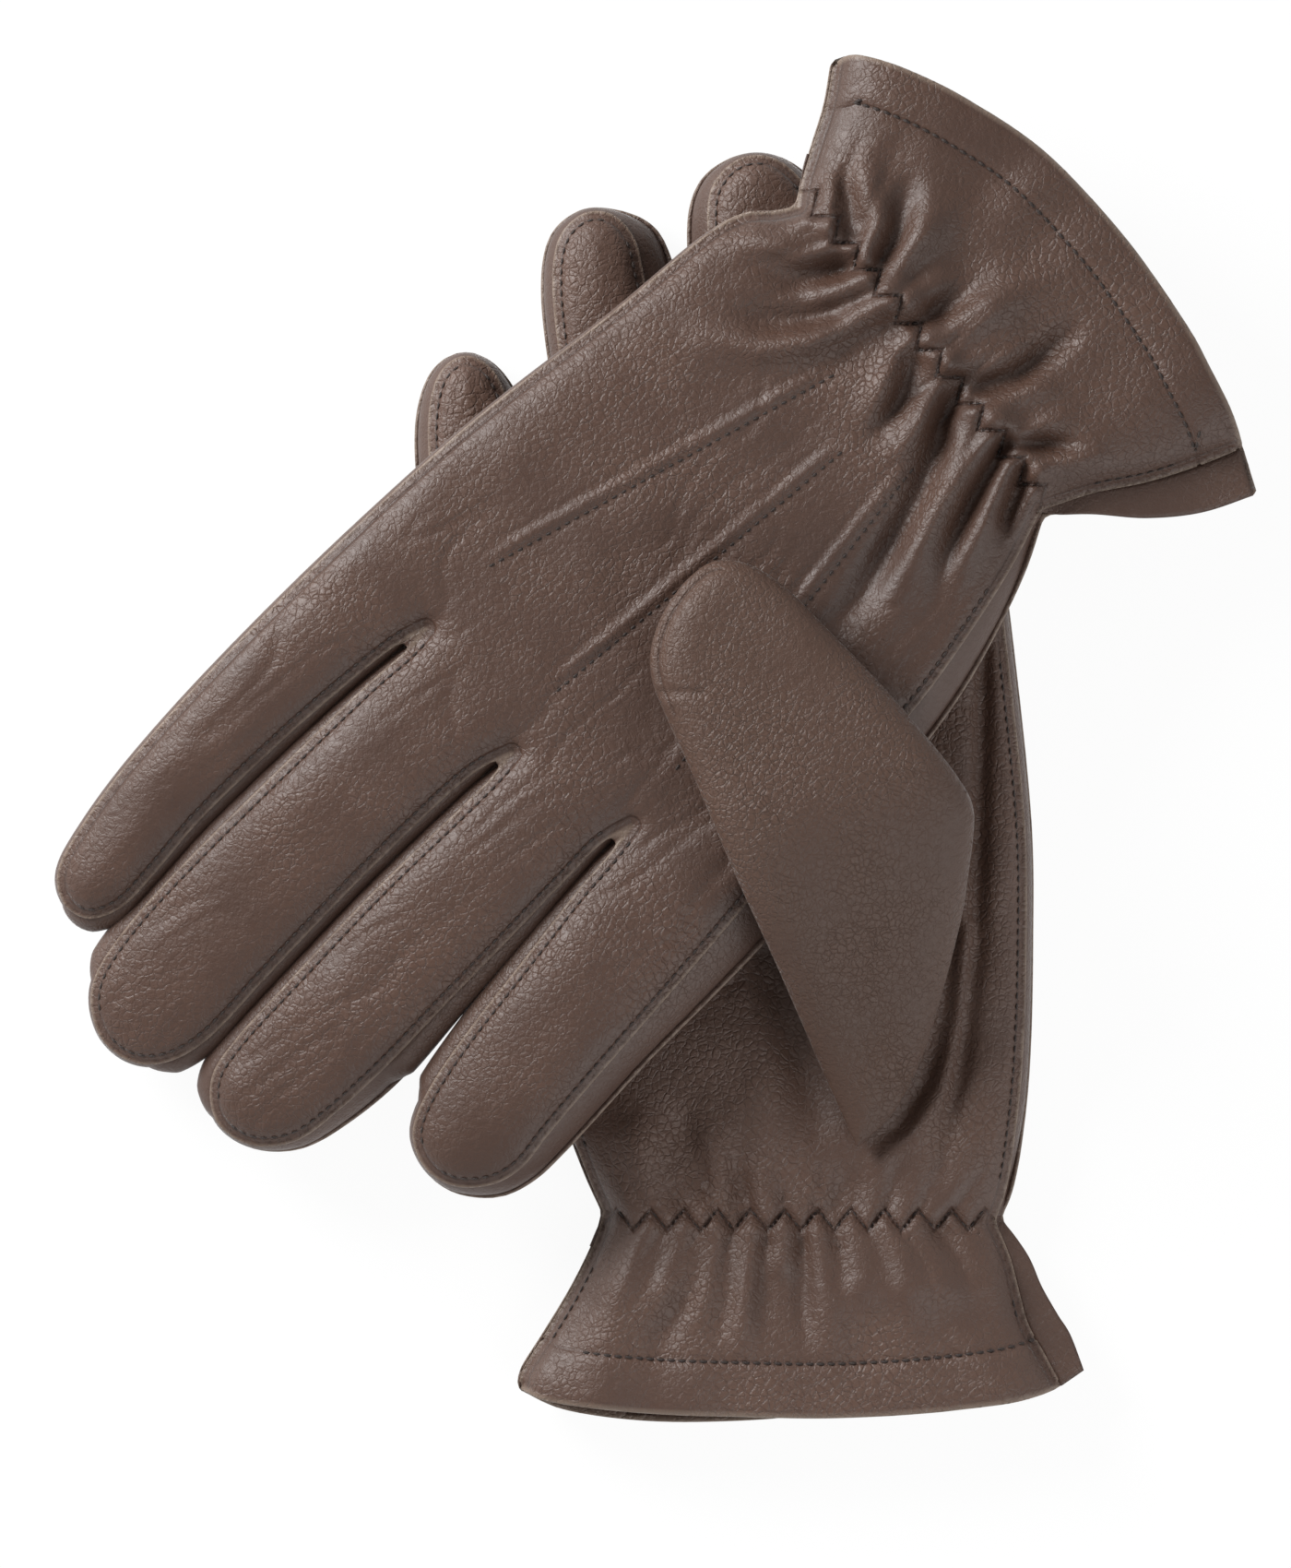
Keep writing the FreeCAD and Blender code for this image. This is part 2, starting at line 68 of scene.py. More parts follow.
# An outline row is x, y, how far the lower layer reaches past it, and 1 at a sharp corner, 2 on the hem
# or 0 elsewhere. Two more numbers shift the lower layer's point.
backOutline = [
    (58.9, -20.2, 0.6, 1), (53.3, -14, 0.5, 0), (48.9, -7.6, 0.4, 0), (44.4, -1.2, 0.3, 0),
    (40.6, 3, 0.3, 1), (42.6, 7.4, 0.4, 0), (45.9, 12.5, 0.5, 0), (47.3, 22, 0.5, 0), (46.4, 46, 0.6, 0),
    (46.3, 81, 0.6, 0), (43.5, 117, 0.8, 0), (39.2, 152, 0.8, 0), (34.8, 177, 0.8, 0),
    (30.2, 193.5, 0.8, 0), (26.2, 202, 0.8, 0), (20.5, 205, 0.6, 0), (15, 203, 0.6, 0), (12.6, 196, 0.6, 0),
    (14, 186, 0.6, 0), (16.8, 172, 0.6, 0), (19.1, 150, 0.4, 0), (20.2, 130, 0.2, 0), (20.2, 119, 0, 0),
    (19.3, 113.4, 0, 1), (18.2, 119, 0, 0), (17.6, 130, 0.2, 0), (15.5, 150, 0.6, 0), (12, 180, 1, 0),
    (8.6, 199, 1, 0), (4, 210.5, 0.8, 0), (-4, 215.5, 0.6, 0), (-12, 214.5, 0.6, 0), (-17.4, 208.5, 0.8, 0),
    (-18.9, 198, 0.6, 0), (-16.1, 180, 0.3, 0), (-12.3, 154, 0.1, 0), (-9.7, 130, 0.2, 0),
    (-9.7, 121, 0, 0), (-10.9, 115, 0, 1), (-12.2, 121, 0, 0), (-13.3, 130, 0.1, 0), (-15.9, 154, 0.1, 0),
    (-19.6, 178, 0.3, 0), (-22.3, 194, 0.6, 0), (-25.6, 203, 0.8, 0), (-33, 207.5, 0.6, 0),
    (-41, 205, 0.8, 0), (-46, 197, 2, 0), (-46.3, 186, 3.4, 0), (-45, 172, 4, 0), (-42.4, 155, 2.6, 0),
    (-40, 138, 1.2, 0), (-37.6, 122, 0.4, 0), (-36.2, 112, 0, 0), (-37, 105, 0, 1), (-38.8, 112, 0, 0),
    (-40.8, 122, 0.4, 0), (-45.2, 139, 0.9, 0), (-49.8, 157, 0.8, 0), (-54.2, 170, 0.9, 0),
    (-59, 177.5, 0.8, 0), (-66, 179.8, 0.6, 0), (-72.5, 177.4, 1.5, 0), (-76.9, 171, 3, 0),
    (-77.8, 164, 3.8, 0), (-75.8, 156, 5, 0), (-73.2, 144, 5.5, 0), (-70.8, 132, 5.8, 0),
    (-66.8, 112, 7.2, 0), (-63.4, 96, 8, 0), (-58.2, 72, 7.6, 0), (-53.4, 47, 6.2, 0), (-48.9, 31, 5.2, 0),
    (-42.9, 14, 3.2, 0), (-37.2, 1.6, 1, 1), (-41, -9, 0, 0, -2.9, 3), (-45.7, -18.6, 0, 0, -5.6, 4.3),
    (-49.5, -29, 0, 0, -7.7, 5.2), (-52.1, -38.3, 0, 1, -9, 3.4), (-44.5, -40.6, 0, 2, -6, 1.4),
    (-36, -42.2, 0, 2, -2, 0), (-25.3, -43.9, 0.4, 2), (-3.9, -44.8, 0.4, 2), (18.9, -42.6, 0.4, 2),
    (36, -37, 0.4, 2), (47, -31.8, 0.4, 2), (54.6, -27, 0.4, 2), (58.2, -23.6, 0.4, 2),
]
palmOutline = [
    (52.9, -33.9, 0, 1, 4.3, 3.3), (49.5, -27.5, 0, 0, 5, 4), (46.1, -21.3, 0, 0, 5.9, 1.8),
    (44.2, -14.5, 0, 0, 4.5, 0.8), (42.4, -7.6, 0, 0, 3.5, 0.2), (39.4, -0.5, 0, 1, 1.2, 0.6),
    (41.6, 6, 1.4, 0), (43.2, 16, 1.8, 0), (44.8, 32, 1.8, 0), (45.6, 56, 1.6, 0), (45.2, 81, 1.6, 0),
    (41.5, 117, 1.6, 0), (37.2, 152, 1.3, 0), (32, 177, 2, 0), (28, 194, 1.5, 0), (24.5, 201, 1, 0),
    (19.4, 204, 0.8, 0), (14, 201.5, 1.5, 0), (12.8, 194, 2.5, 0), (14, 184, 3, 0), (16.5, 168, 2.4, 0),
    (18.6, 150, 1, 0), (20.2, 130, 0.3, 0), (20.2, 119, 0, 0), (19.3, 113.4, 0, 1), (18.2, 119, 0, 0),
    (17.2, 130, 0.6, 0), (14.6, 150, 1.6, 0), (9.8, 180, 2.4, 0), (5.5, 199, 2.4, 0), (0.5, 209.5, 2, 0),
    (-6, 214.6, 1, 0), (-13, 214, 1.2, 0), (-18.2, 208, 3, 0), (-18.8, 198, 4.2, 0), (-17.2, 180, 3.4, 0),
    (-13.6, 150, 1.2, 0), (-10.2, 130, 0.4, 0), (-9.8, 121, 0, 0), (-10.9, 115, 0, 1), (-12.2, 121, 0, 0),
    (-14.4, 130, 0.6, 0), (-20, 150, 2.4, 0), (-28, 176, 5.6, 0), (-31.5, 190, 6.4, 0), (-33.5, 198, 5, 0),
    (-38, 203, 1.5, 0), (-44, 203.2, 1.2, 0), (-49, 198, 2, 0), (-50.2, 188, 2.4, 0), (-48.5, 172, 2.4, 0),
    (-45.2, 152, 1.8, 0), (-41.3, 134, 1, 0), (-38, 121, 0.4, 0), (-36.5, 112, 0, 0), (-37.1, 105, 0, 1),
    (-38.9, 112, 0, 0), (-42.2, 122, 0.8, 0), (-47.5, 139, 2.6, 0), (-54.5, 155, 3.2, 0),
    (-58.8, 165, 2.4, 0), (-62.5, 172, 1.2, 0), (-68, 174.5, 1, 0), (-73, 171, 1.8, 0),
    (-75.2, 163, 2.6, 0), (-75, 152, 3, 0), (-73, 140, 3, 0), (-71, 128, 2.5, 0), (-69.4, 112, 2.2, 0),
    (-66.5, 96, 2, 0), (-62, 72, 1.6, 0), (-56.4, 47, 1.2, 0), (-49.8, 27, 0.8, 0), (-43.6, 10, 0.6, 0),
    (-39.9, 1.4, 0.4, 1), (-41.6, -4.5, 0.4, 0), (-46.2, -13.9, 0.4, 0), (-51.7, -23.2, 0.5, 0),
    (-56.2, -30.4, 0.5, 0), (-57, -34.2, 0.4, 1), (-49.9, -36.8, 0, 2, 2, -2.2),
    (-31.3, -38.9, 0, 2, 0, -2.4), (-12.8, -39.6, 0, 2, 0, -1.7), (5.7, -39.9, 0, 2, 0, 0),
    (24.2, -39, 0, 2, 0, 0), (40, -37.2, 0, 2, 1, 0.6), (47, -35.8, 0, 2, 3, 1.6),
]
# the raised lines on the back of the hand, each from its start to its end
raisedPoints = [((23, 96), (10.9, 16.4)), ((-5, 101), (-1.9, 24.2)), ((-32, 92), (-12.9, 15.4))]

hand = {
    "palmHalf": 7.3, "fingerHalf": 7.9, "wristHalf": 6.6, "cuffHalf": 8.6,  # half thicknesses
    "seamUp": 4.0, "seamDown": 3.2, "seamOpen": 0.35, "domeIn": 2.2, "domeOut": 1.9,
    "fingerRound": 10.5, "palmRound": 14.0, "flange": 1.0, "stitchIn": 1.8, "groove": 0.34, "grooveHalf": 0.8,
    "leather": 1.3, "thinnest": 0.15, "layerGap": 0.06,
    "slab": 5.0, "voxelTop": 0.82, "voxelUnder": 1.2, "pathStep": 0.8,
}
# half the thickness, and half the width that the gathers spread over, at each y
halfProfile = [(-45, hand["cuffHalf"]), (-14, 8.2), (-3, hand["wristHalf"]), (3, hand["wristHalf"]),
               (16, 7.2), (45, hand["palmHalf"]), (100, hand["palmHalf"]), (125, hand["fingerHalf"])]
widthProfile = [(-45, 60), (-20, 52), (-8, 44), (0, 38), (10, 44), (30, 50), (60, 56), (100, 59), (130, 60)]
hemFold = {"depth": {"left": 9.6, "right": 11.0}, "thick": 0.6, "fadeIn": 1.2, "fadeOut": 0.6, "edgeEase": 4,
           "groove": 0.32, "grooveHalf": 0.9, "roll": 0.9, "rollReach": 1.2}
raised = {"height": 0.45, "half": 1.05, "groove": 0.2, "grooveAt": 1.9, "grooveHalf": 0.6, "fade": 0.1,
          "stitchBeside": 1.7, "stitchLift": 0.1, "steps": 60}

# where each form comes in: along the glove, or in from the sewn edge
zone = {
    "seam": (-4, 22), "fingers": (100, 126), "palmStart": (12, 40), "palmEnd": (95, 125), "creases": (8, 30),
    "inside": (0.5, 5), "folds": (0.2, 3), "hem": (0.5, 3), "gathers": (2, 12), "farGathers": (4, 16),
    "foldEnd": (0.45, 1.0), "wallCuff": (-4, 10), "wallPuff": (0, 25),
}
relief = {
    "seed": {"left": 3, "right": 8}, "underSeed": 20,
    "palm": 0.8, "palmCell": 26, "palmFine": 0.35, "fineCell": 12,
    "finger": 0.45, "fingerCell": 12, "fingerStretch": 0.8,
    "wander": 2.2, "wanderCell": 14, "creaseAcross": 1.3, "creaseSlant": 0.5, "creaseAlong": 0.3,
    "creaseCell": 6, "creaseDepth": 0.36, "creaseFrom": 0.8, "creaseGain": 5,
    "patchCell": 22, "patch": (-0.25, 0.45),
}
noiseGrid = {"count": 64, "shift": 200.5}


def smoothStep(value, low, high):
    t = np.clip((value - low) / (high - low), 0, 1)
    return t * t * (3 - 2 * t)


def bell(distance, half, power=2):
    return np.exp(-(np.abs(distance) / half) ** power)


# smooth bumps from -1 to 1, the same for a seed each time
def noiseField(x, y, cell, seed):
    count = noiseGrid["count"]
    table = np.random.RandomState(seed).uniform(-1, 1, (count, count))
    u, v = x / cell + noiseGrid["shift"], y / cell + noiseGrid["shift"]
    i, j = np.floor(u).astype(int), np.floor(v).astype(int)
    fu, fv = u - i, v - j
    fu, fv = fu * fu * (3 - 2 * fu), fv * fv * (3 - 2 * fv)

    def at(a, b):
        return table[a % count, b % count]

    low = at(i, j) * (1 - fu) + at(i + 1, j) * fu
    high = at(i, j + 1) * (1 - fu) + at(i + 1, j + 1) * fu
    return low * (1 - fv) + high * fv


def seedOf(side, layer):
    return relief["seed"][side] + (0 if layer > 0 else relief["underSeed"])


# A smooth curve through the outline, with sharp corners kept.
# Its rows are x, y, the lower layer's reach and shift, and 1 on the hem.
def smoothLoop(points):
    count = len(points)
    values = [np.array([*p[:3], *(p[4:] or (0, 0))], float) for p in points]
    rows = []
    for k in range(count):
        p1, p2 = points[k], points[(k + 1) % count]
        a, b = values[k], values[(k + 1) % count]
        before = a * 2 - b if p1[3] == 1 else values[(k - 1) % count]
        after = b * 2 - a if p2[3] == 1 else values[(k + 2) % count]
        onHem = 1.0 if (p1[3] == 2 or p2[3] == 2) else 0.0
        steps = max(2, int(np.linalg.norm((b - a)[:2]) / hand["pathStep"]))
        for s in range(steps):
            t = s / steps
            row = 0.5 * (2 * a + (b - before) * t + (2 * before - 5 * a + 4 * b - after) * t * t
                         + (3 * a - before - 3 * b + after) * t ** 3)
            rows.append([*row, onHem])
    return np.array(rows)


def hemRows(loop):
    return loop[:, -1] > 0.5


def outwardNormals(loop):
    along = np.roll(loop[:, :2], -2, 0) - np.roll(loop[:, :2], 2, 0)
    along /= np.maximum(np.linalg.norm(along, axis=1), 1e-9)[:, None]
    return np.stack([along[:, 1], -along[:, 0]], 1)


# distances: one for the whole loop, or one for each row
def offsetLoop(loop, distances):
    moved = loop.copy()
    moved[:, :2] += outwardNormals(loop) * np.reshape(distances, (-1, 1))
    return moved


# the lower layer's outline, past the upper one by its reach and shift
def lowerLoop(loop):
    lower = offsetLoop(loop, loop[:, 2])
    lower[:, :2] += loop[:, 3:5]
    return lower


# distance to the sewn edge, or to the hem where onHem is set
def edgeDistance(x, y, loop, onHem):
    rows = loop[hemRows(loop) == onHem]
    tree = KDTree(len(rows))
    for k, row in enumerate(rows):
        tree.insert((row[0], row[1], 0), k)
    tree.balance()
    return np.array([tree.find((a, b, 0))[2] for a, b in zip(x, y)])


# pattern millimetres to metres in the frame
def toRow(side, x, y, z):
    at = gloveAt[side]
    c, s = math.cos(at["turn"]), math.sin(at["turn"])
    return np.stack([at["x"] + (x * c - y * s) * mm, at["y"] + (x * s + y * c) * mm, at["z"] + z * mm], 1)


# height of the middle of a glove's thickness
def middleLine(side, y):
    past = y - lie["fingerBend"]
    droop = (np.sqrt(past ** 2 + lie["bendEase"] ** 2) + past) / 2 * lie["fingerDroop"][side]
    cuff = np.clip(-y / lie["cuffLength"], 0, 1) * lie["cuffDroop"][side]
    return -droop - cuff


gather = {
    "pitch": 6.75, "rowHalf": 2.1, "rowReach": {"left": 36.5, "right": 38.5}, "rowLift": 0.4,
    "height": {"left": 2.7, "right": 2.1}, "reach": 11.0, "reachPower": 1.5, "rise": 1.5,
    "puffPower": 0.75, "puffMiddle": 0.55, "least": 0.8, "vary": 0.4, "varyStep": 7.3, "varyCell": 5,
    "pinch": 1.3, "pinchHalf": 0.75, "bend": 1.6, "bendCell": 15,
    "far": 1.3, "farReach": 38, "farAcross": 1.5, "farAlong": 0.4, "farCell": 9,
    "foldScale": {"left": 1.3, "right": 0.85}, "foldWiden": {"left": 1.08, "right": 1.45},
}

# a fold is a height, a half width and the line that it follows, and a crease has a negative height
folds = {
    "left": [
        (1.8, 3.0, [(34.0, 0.9), (41.4, 7.6), (45.9, 14.6)]),
        (2.0, 2.6, [(28.2, -0.5), (33.0, 8.2), (40.1, 14.4), (43.0, 22.7)]),
        (-1.9, 2.6, [(26.3, 4.0), (29.8, 11.9), (36.0, 21.1)]),
        (1.5, 2.4, [(20.7, -1.0), (21.9, 7.4), (24.8, 15.7)]),
        (2.6, 3.2, [(13.2, -2.2), (15.1, 6.8), (17.3, 16.9), (22.6, 26.8), (30.9, 33.3), (40.1, 35.5)]),
        (-1.6, 2.6, [(18.8, 11.0), (24.7, 20.5), (33.9, 27.5)]),
        (2.2, 2.6, [(5.9, -2.0), (4.1, 7.1), (0.2, 14.2), (-2.8, 21.8)]),
        (-1.6, 2.0, [(1.8, 4.2), (-3.2, 12.8), (-6.6, 23.6)]),
        (2.3, 2.6, [(-2.6, -1.0), (-6.6, 5.4), (-9.9, 13.3), (-11.8, 22.9)]),
        (-3.0, 2.8, [(-6.6, 0.9), (-13.6, 8.4), (-20.7, 20.5), (-26.4, 34.3), (-30.8, 48.2), (-36, 64)]),
        (1.6, 1.8, [(-9.7, -1.1), (-12.8, 5.0), (-17.0, 10.1)]),
        (2.8, 3.6, [(-18.0, -1.8), (-20.0, 7.8), (-24.5, 20.1), (-30.4, 32.2), (-39.3, 41.9)]),
        (-2.2, 1.8, [(-21.8, -0.7), (-27.0, 10.8), (-33.1, 22.6), (-40.9, 33.7)]),
        (2.4, 3.0, [(-25.1, -1.0), (-30.2, 8.2), (-35.5, 17.9), (-42.2, 28.9)]),
        (-2.2, 1.8, [(-28.4, -0.1), (-33.0, 7.5), (-39.2, 13.2)]),
        (1.8, 2.2, [(-31.5, -2.0), (-37.0, 5.4), (-40.3, 11.8)]),
        (1.6, 2.0, [(38.1, 2.7), (43.4, -1.0), (47.2, -6.7)]),
        (1.8, 2.0, [(32.6, 1.0), (36.9, -3.4), (42.2, -7.1)]),
        (-1.7, 1.8, [(30.0, -1.2), (35.1, -5.8), (40.9, -8.9)]),
        (2.4, 3.0, [(23.8, -1.3), (28.2, -7.1), (35.5, -11.3), (43.1, -13.6)]),
        (-2.2, 2.4, [(20.7, -1.7), (24.8, -10.0), (29.5, -16.0), (35.5, -21.8)]),
        (2.8, 4.2, [(16.7, -0.2), (19.8, -7.3), (21.9, -18.3), (22.7, -29.4)]),
        (1.8, 3.0, [(9.7, -0.7), (10.8, -9.0), (10.9, -16.8)]),
        (-1.7, 2.2, [(7.4, -1.3), (6.4, -11.0), (5.7, -21.0)]),
        (2.6, 3.4, [(1.0, -1.4), (1.1, -10.4), (0.4, -20.4), (-0.9, -31.1)]),
        (2.0, 3.4, [(-6.7, -0.8), (-7.5, -8.5), (-9.0, -19.0)]),
        (-3.0, 2.4, [(-10.2, -1.7), (-12.8, -10.2), (-12.7, -23.1), (-12.9, -30.0)]),
        (2.2, 2.8, [(-13.7, -1.3), (-15.0, -8.5), (-21.5, -18.7)]),
        (1.8, 2.4, [(-21.5, -1.2), (-23.9, -9.8), (-27.9, -18.5)]),
        (-2.7, 1.8, [(-23.0, -0.7), (-27.5, -7.1), (-34.8, -15.4)]),
        (1.8, 2.6, [(-27.9, -2.5), (-32.9, -9.9), (-39.0, -16.9)]),
    ],
    "right": [
        (2.2, 4.0, [(-34.5, 4.6), (-35.0, 15.7), (-31.3, 25.0)]),
        (-2.0, 2.2, [(-19.9, 7.4), (-23.0, 16.7), (-25.4, 25.0)]),
        (2.0, 2.4, [(-19.3, 1.3), (-17.5, 8.3), (-18.8, 16.7), (-21.2, 26.8)]),
        (-1.6, 1.8, [(-12.8, 0.9), (-12.3, 6.5), (-13.8, 13.9)]),
        (1.6, 3.0, [(-6.3, 2.8), (-5.8, 15.7), (-6.3, 30.5), (-9.1, 43.5)]),
        (-1.6, 1.6, [(6.6, 1.3), (9.0, 7.4), (7.9, 13.9)]),
        (1.2, 2.0, [(2.9, 4.6), (2.9, 12.0), (3.8, 19.4)]),
        (2.2, 3.4, [(-31.3, -2.8), (-37.3, -12.0), (-44.3, -19.5)]),
        (-1.6, 1.8, [(-26.7, -4.6), (-31.3, -13.0), (-36.9, -21.3)]),
        (2.0, 3.0, [(-23.6, -3.7), (-27.6, -13.0), (-33.2, -23.2)]),
        (-1.8, 1.8, [(-19.7, -4.6), (-22.1, -13.9), (-27.6, -23.2), (-31.3, -32.4)]),
        (2.0, 2.8, [(-16.9, -3.7), (-19.3, -13.9), (-23.0, -26.9)]),
        (-1.5, 1.6, [(-13.4, -4.6), (-15.0, -17.6), (-16.9, -26.9)]),
        (2.0, 2.6, [(-10.2, -3.2), (-10.8, -13.9), (-12.1, -25.0), (-12.8, -34.3)]),
        (-1.4, 1.6, [(-6.9, -4.6), (-7.6, -15.8), (-8.2, -26.9)]),
        (1.6, 2.4, [(-3.6, -3.2), (-5.0, -13.9)]),
        (-1.4, 1.6, [(-0.2, -4.6), (0.5, -17.6), (2.0, -28.7)]),
        (2.0, 2.8, [(3.5, -3.2), (5.0, -13.9), (6.2, -23.2), (5.7, -34.3)]),
        (-1.2, 1.6, [(6.6, -4.6), (8.5, -17.6)]),
        (1.8, 2.8, [(10.0, -3.2), (11.6, -12.0), (15.0, -21.3)]),
        (2.0, 3.2, [(16.8, -2.8), (21.4, -13.0), (27.0, -22.2)]),
        (2.0, 3.2, [(23.8, -2.8), (28.8, -11.1), (33.5, -19.5)]),
        (-2.8, 3.4, [(28.3, -3.7), (33.5, -13.9), (38.7, -25.0), (42.7, -34.3)]),
        (-2.3, 1.3, [(36.8, 115.7), (36.1, 82.4), (35.3, 56.5), (32.5, 32.4), (29.8, 17.6), (28.3, 4.6),
                     (27.9, -3.7)]),
        (1.0, 3.6, [(40.9, 104.6), (40.9, 56.5), (38.7, 32.4), (35.0, 10.2)]),
        (2.0, 2.0, [(33.1, 58.3), (31.6, 41.7), (27.9, 27.8), (22.7, 18.0), (16.8, 12.4), (11.2, 10.9)]),
        (-2.4, 1.5, [(30.9, 58.3), (29.4, 41.7), (25.7, 27.8), (20.1, 19.1), (15.0, 14.8), (10.9, 13.9)]),
        (-2.6, 3.0, [(-7.3, 52.8), (-3.2, 39.8), (2.0, 25.0), (8.5, 15.7)]),
    ],
}


def segmentDistance(x, y, start, end):
    ax, ay = start
    bx, by = end
    dx, dy = bx - ax, by - ay
    t = np.clip(((x - ax) * dx + (y - ay) * dy) / (dx * dx + dy * dy), 0, 1)
    return np.hypot(x - ax - t * dx, y - ay - t * dy), t


# the folds of one glove, which fade out at their far ends
def foldHeight(side, x, y):
    total = np.zeros_like(x)
    for height, width, line in folds[side]:
        away, run = np.full_like(x, np.inf), np.zeros_like(x)
        count = len(line) - 1
        for k in range(count):
            d, t = segmentDistance(x, y, line[k], line[k + 1])
            near = d < away
            away, run = np.where(near, d, away), np.where(near, (k + t) / count, run)
        taper = 1 - smoothStep(run, *zone["foldEnd"])
        total += gather["foldScale"][side] * height * taper * bell(away, width * gather["foldWiden"][side])
    return total


# the zigzag row over the elastic
def zigzagY(x):
    t = np.abs((x / gather["pitch"]) % 1 - 0.5) * 2
    return gather["rowHalf"] * (1 - 2 * t)


# puffs that spring from the zigzag row: between its lower corners above it, and its upper corners below it
def gatherHeight(side, layer, x, y):
    g, seed = gather, seedOf(side, layer)
    wristWidth = np.interp(0, *zip(*widthProfile))
    across = x / np.interp(y, *zip(*widthProfile)) * wristWidth
    bend = noiseField(x, y, g["bendCell"], seed) * smoothStep(np.abs(y), *zone["gathers"]) * g["bend"]
    across = across + bend
    u = math.pi * across / g["pitch"]
    over = y - zigzagY(x)
    puff = np.where(over > 0, np.abs(np.cos(u)), np.abs(np.sin(u))) ** g["puffPower"]
    which = np.floor(across / g["pitch"] + (over > 0) * 0.5) * g["varyStep"]
    share = g["least"] + g["vary"] * noiseField(which, np.zeros_like(over), g["varyCell"], seed + 1)
    z = g["height"][side] * share * bell(over, g["reach"], g["reachPower"]) * (1 - bell(over, g["rise"]))
    z = z * (puff - g["puffMiddle"]) - g["pinch"] * bell(over, g["pinchHalf"])
    far = bell(y, g["farReach"]) * smoothStep(np.abs(y), *zone["farGathers"])
    return z + g["far"] * far * noiseField(across * g["farAcross"], y * g["farAlong"], g["farCell"], seed + 6)


# soft bumps over the palm and fingers, less the long creases
def reliefHeight(side, layer, x, y):
    r, seed = relief, seedOf(side, layer)
    palmZone = smoothStep(y, *zone["palmStart"]) * (1 - smoothStep(y, *zone["palmEnd"]))
    z = palmZone * (r["palm"] * noiseField(x, y, r["palmCell"], seed + 2)
                    + r["palmFine"] * noiseField(x + y, y - x, r["fineCell"], seed + 3))
    fingerBumps = noiseField(x, y * r["fingerStretch"], r["fingerCell"], seed + 4)
    z += smoothStep(y, *zone["fingers"]) * r["finger"] * fingerBumps
    wander = x + r["wander"] * noiseField(x, y, r["wanderCell"], seed + 7)
    slant = (y + r["creaseSlant"] * x) * r["creaseAlong"]
    crease = 1 - np.abs(noiseField(wander * r["creaseAcross"], slant, r["creaseCell"], seed + 5))
    patchy = smoothStep(noiseField(x, y, r["patchCell"], seed + 8), *r["patch"])
    sharp = np.clip(crease - r["creaseFrom"], 0, 1) * r["creaseGain"]
    return z - r["creaseDepth"] * sharp * patchy * smoothStep(y, *zone["creases"])


# the three raised lines on the back of the hand, each with a groove beside it
def pointHeight(x, y):
    z = np.zeros_like(x)
    for start, end in raisedPoints:
        away, t = segmentDistance(x, y, start, end)
        fade = smoothStep(t, 0.0, raised["fade"]) * (1 - smoothStep(t, 1 - raised["fade"], 1.0))
        z += fade * (raised["height"] * bell(away, raised["half"], 3)
                     - raised["groove"] * bell(away - raised["grooveAt"], raised["grooveHalf"]))
    return z


# the outer skin of a layer over the glove's middle, where layer is 1 for the upper and -1 for the lower
def layerHeight(side, layer, x, y, d, hem):
    fingers = smoothStep(y, *zone["fingers"])
    half = np.interp(y, *zip(*halfProfile))
    seam = hand["seamUp"] if layer > 0 else hand["seamDown"]
    seam = seam * smoothStep(y, *zone["seam"]) + hand["seamOpen"]
    rounding = hand["palmRound"] + (hand["fingerRound"] - hand["palmRound"]) * fingers
    u = np.clip((d - hand["flange"]) / rounding, 0, 1)
    dome = (1 - (1 - u) ** hand["domeIn"]) ** (1 / hand["domeOut"])
    z = seam + (half - seam) * dome
    z -= hand["groove"] * bell(d - hand["stitchIn"], hand["grooveHalf"]) * smoothStep(hem, *zone["hem"])
    z += smoothStep(d, *zone["inside"]) * (gatherHeight(side, layer, x, y) + reliefHeight(side, layer, x, y))
    if layer > 0:
        z += smoothStep(d, *zone["folds"]) * foldHeight(side, x, y)
    turned = hemFold["depth"][side]
    thick = 1 - smoothStep(hem, turned - hemFold["fadeIn"], turned + hemFold["fadeOut"])
    z += hemFold["thick"] * thick * smoothStep(d, 0, hemFold["edgeEase"])
    z -= hemFold["groove"] * bell(hem - turned, hemFold["grooveHalf"])
    z -= hemFold["roll"] * bell(hem, hemFold["rollReach"], 1)
    if (side == "left") == (layer > 0):
        z += pointHeight(x, y)
    return layer * z


# the outer skin's height at each place, with the distances to the sewn edge and to the hem
def skinAt(side, layer, loop, x, y):
    d, hem = edgeDistance(x, y, loop, False), edgeDistance(x, y, loop, True)
    return layerHeight(side, layer, x, y, d, hem), d, hem


print("outlines and height functions ready")


def selectOnly(pieces):
    bpy.ops.object.select_all(action="DESELECT")
    for piece in pieces:
        piece.select_set(True)
    bpy.context.view_layer.objects.active = pieces[0]


def newPiece(name, verts, faces):
    mesh = bpy.data.meshes.new(name)
    mesh.from_pydata(verts, [], faces)
    piece = bpy.data.objects.new(name, mesh)
    bpy.context.scene.collection.objects.link(piece)
    selectOnly([piece])
    return piece


# each operator works on the whole mesh
def inEditMode(*operators, **settings):
    bpy.ops.object.mode_set(mode="EDIT")
    for operator in operators:
        bpy.ops.mesh.select_all(action="SELECT")
        operator(**settings)
    bpy.ops.object.mode_set(mode="OBJECT")


def applyModifier(piece, kind, settings):
    modifier = piece.modifiers.new(kind, kind)
    for label, value in settings.items():
        setattr(modifier, label, value)
    bpy.ops.object.modifier_apply(modifier=modifier.name)


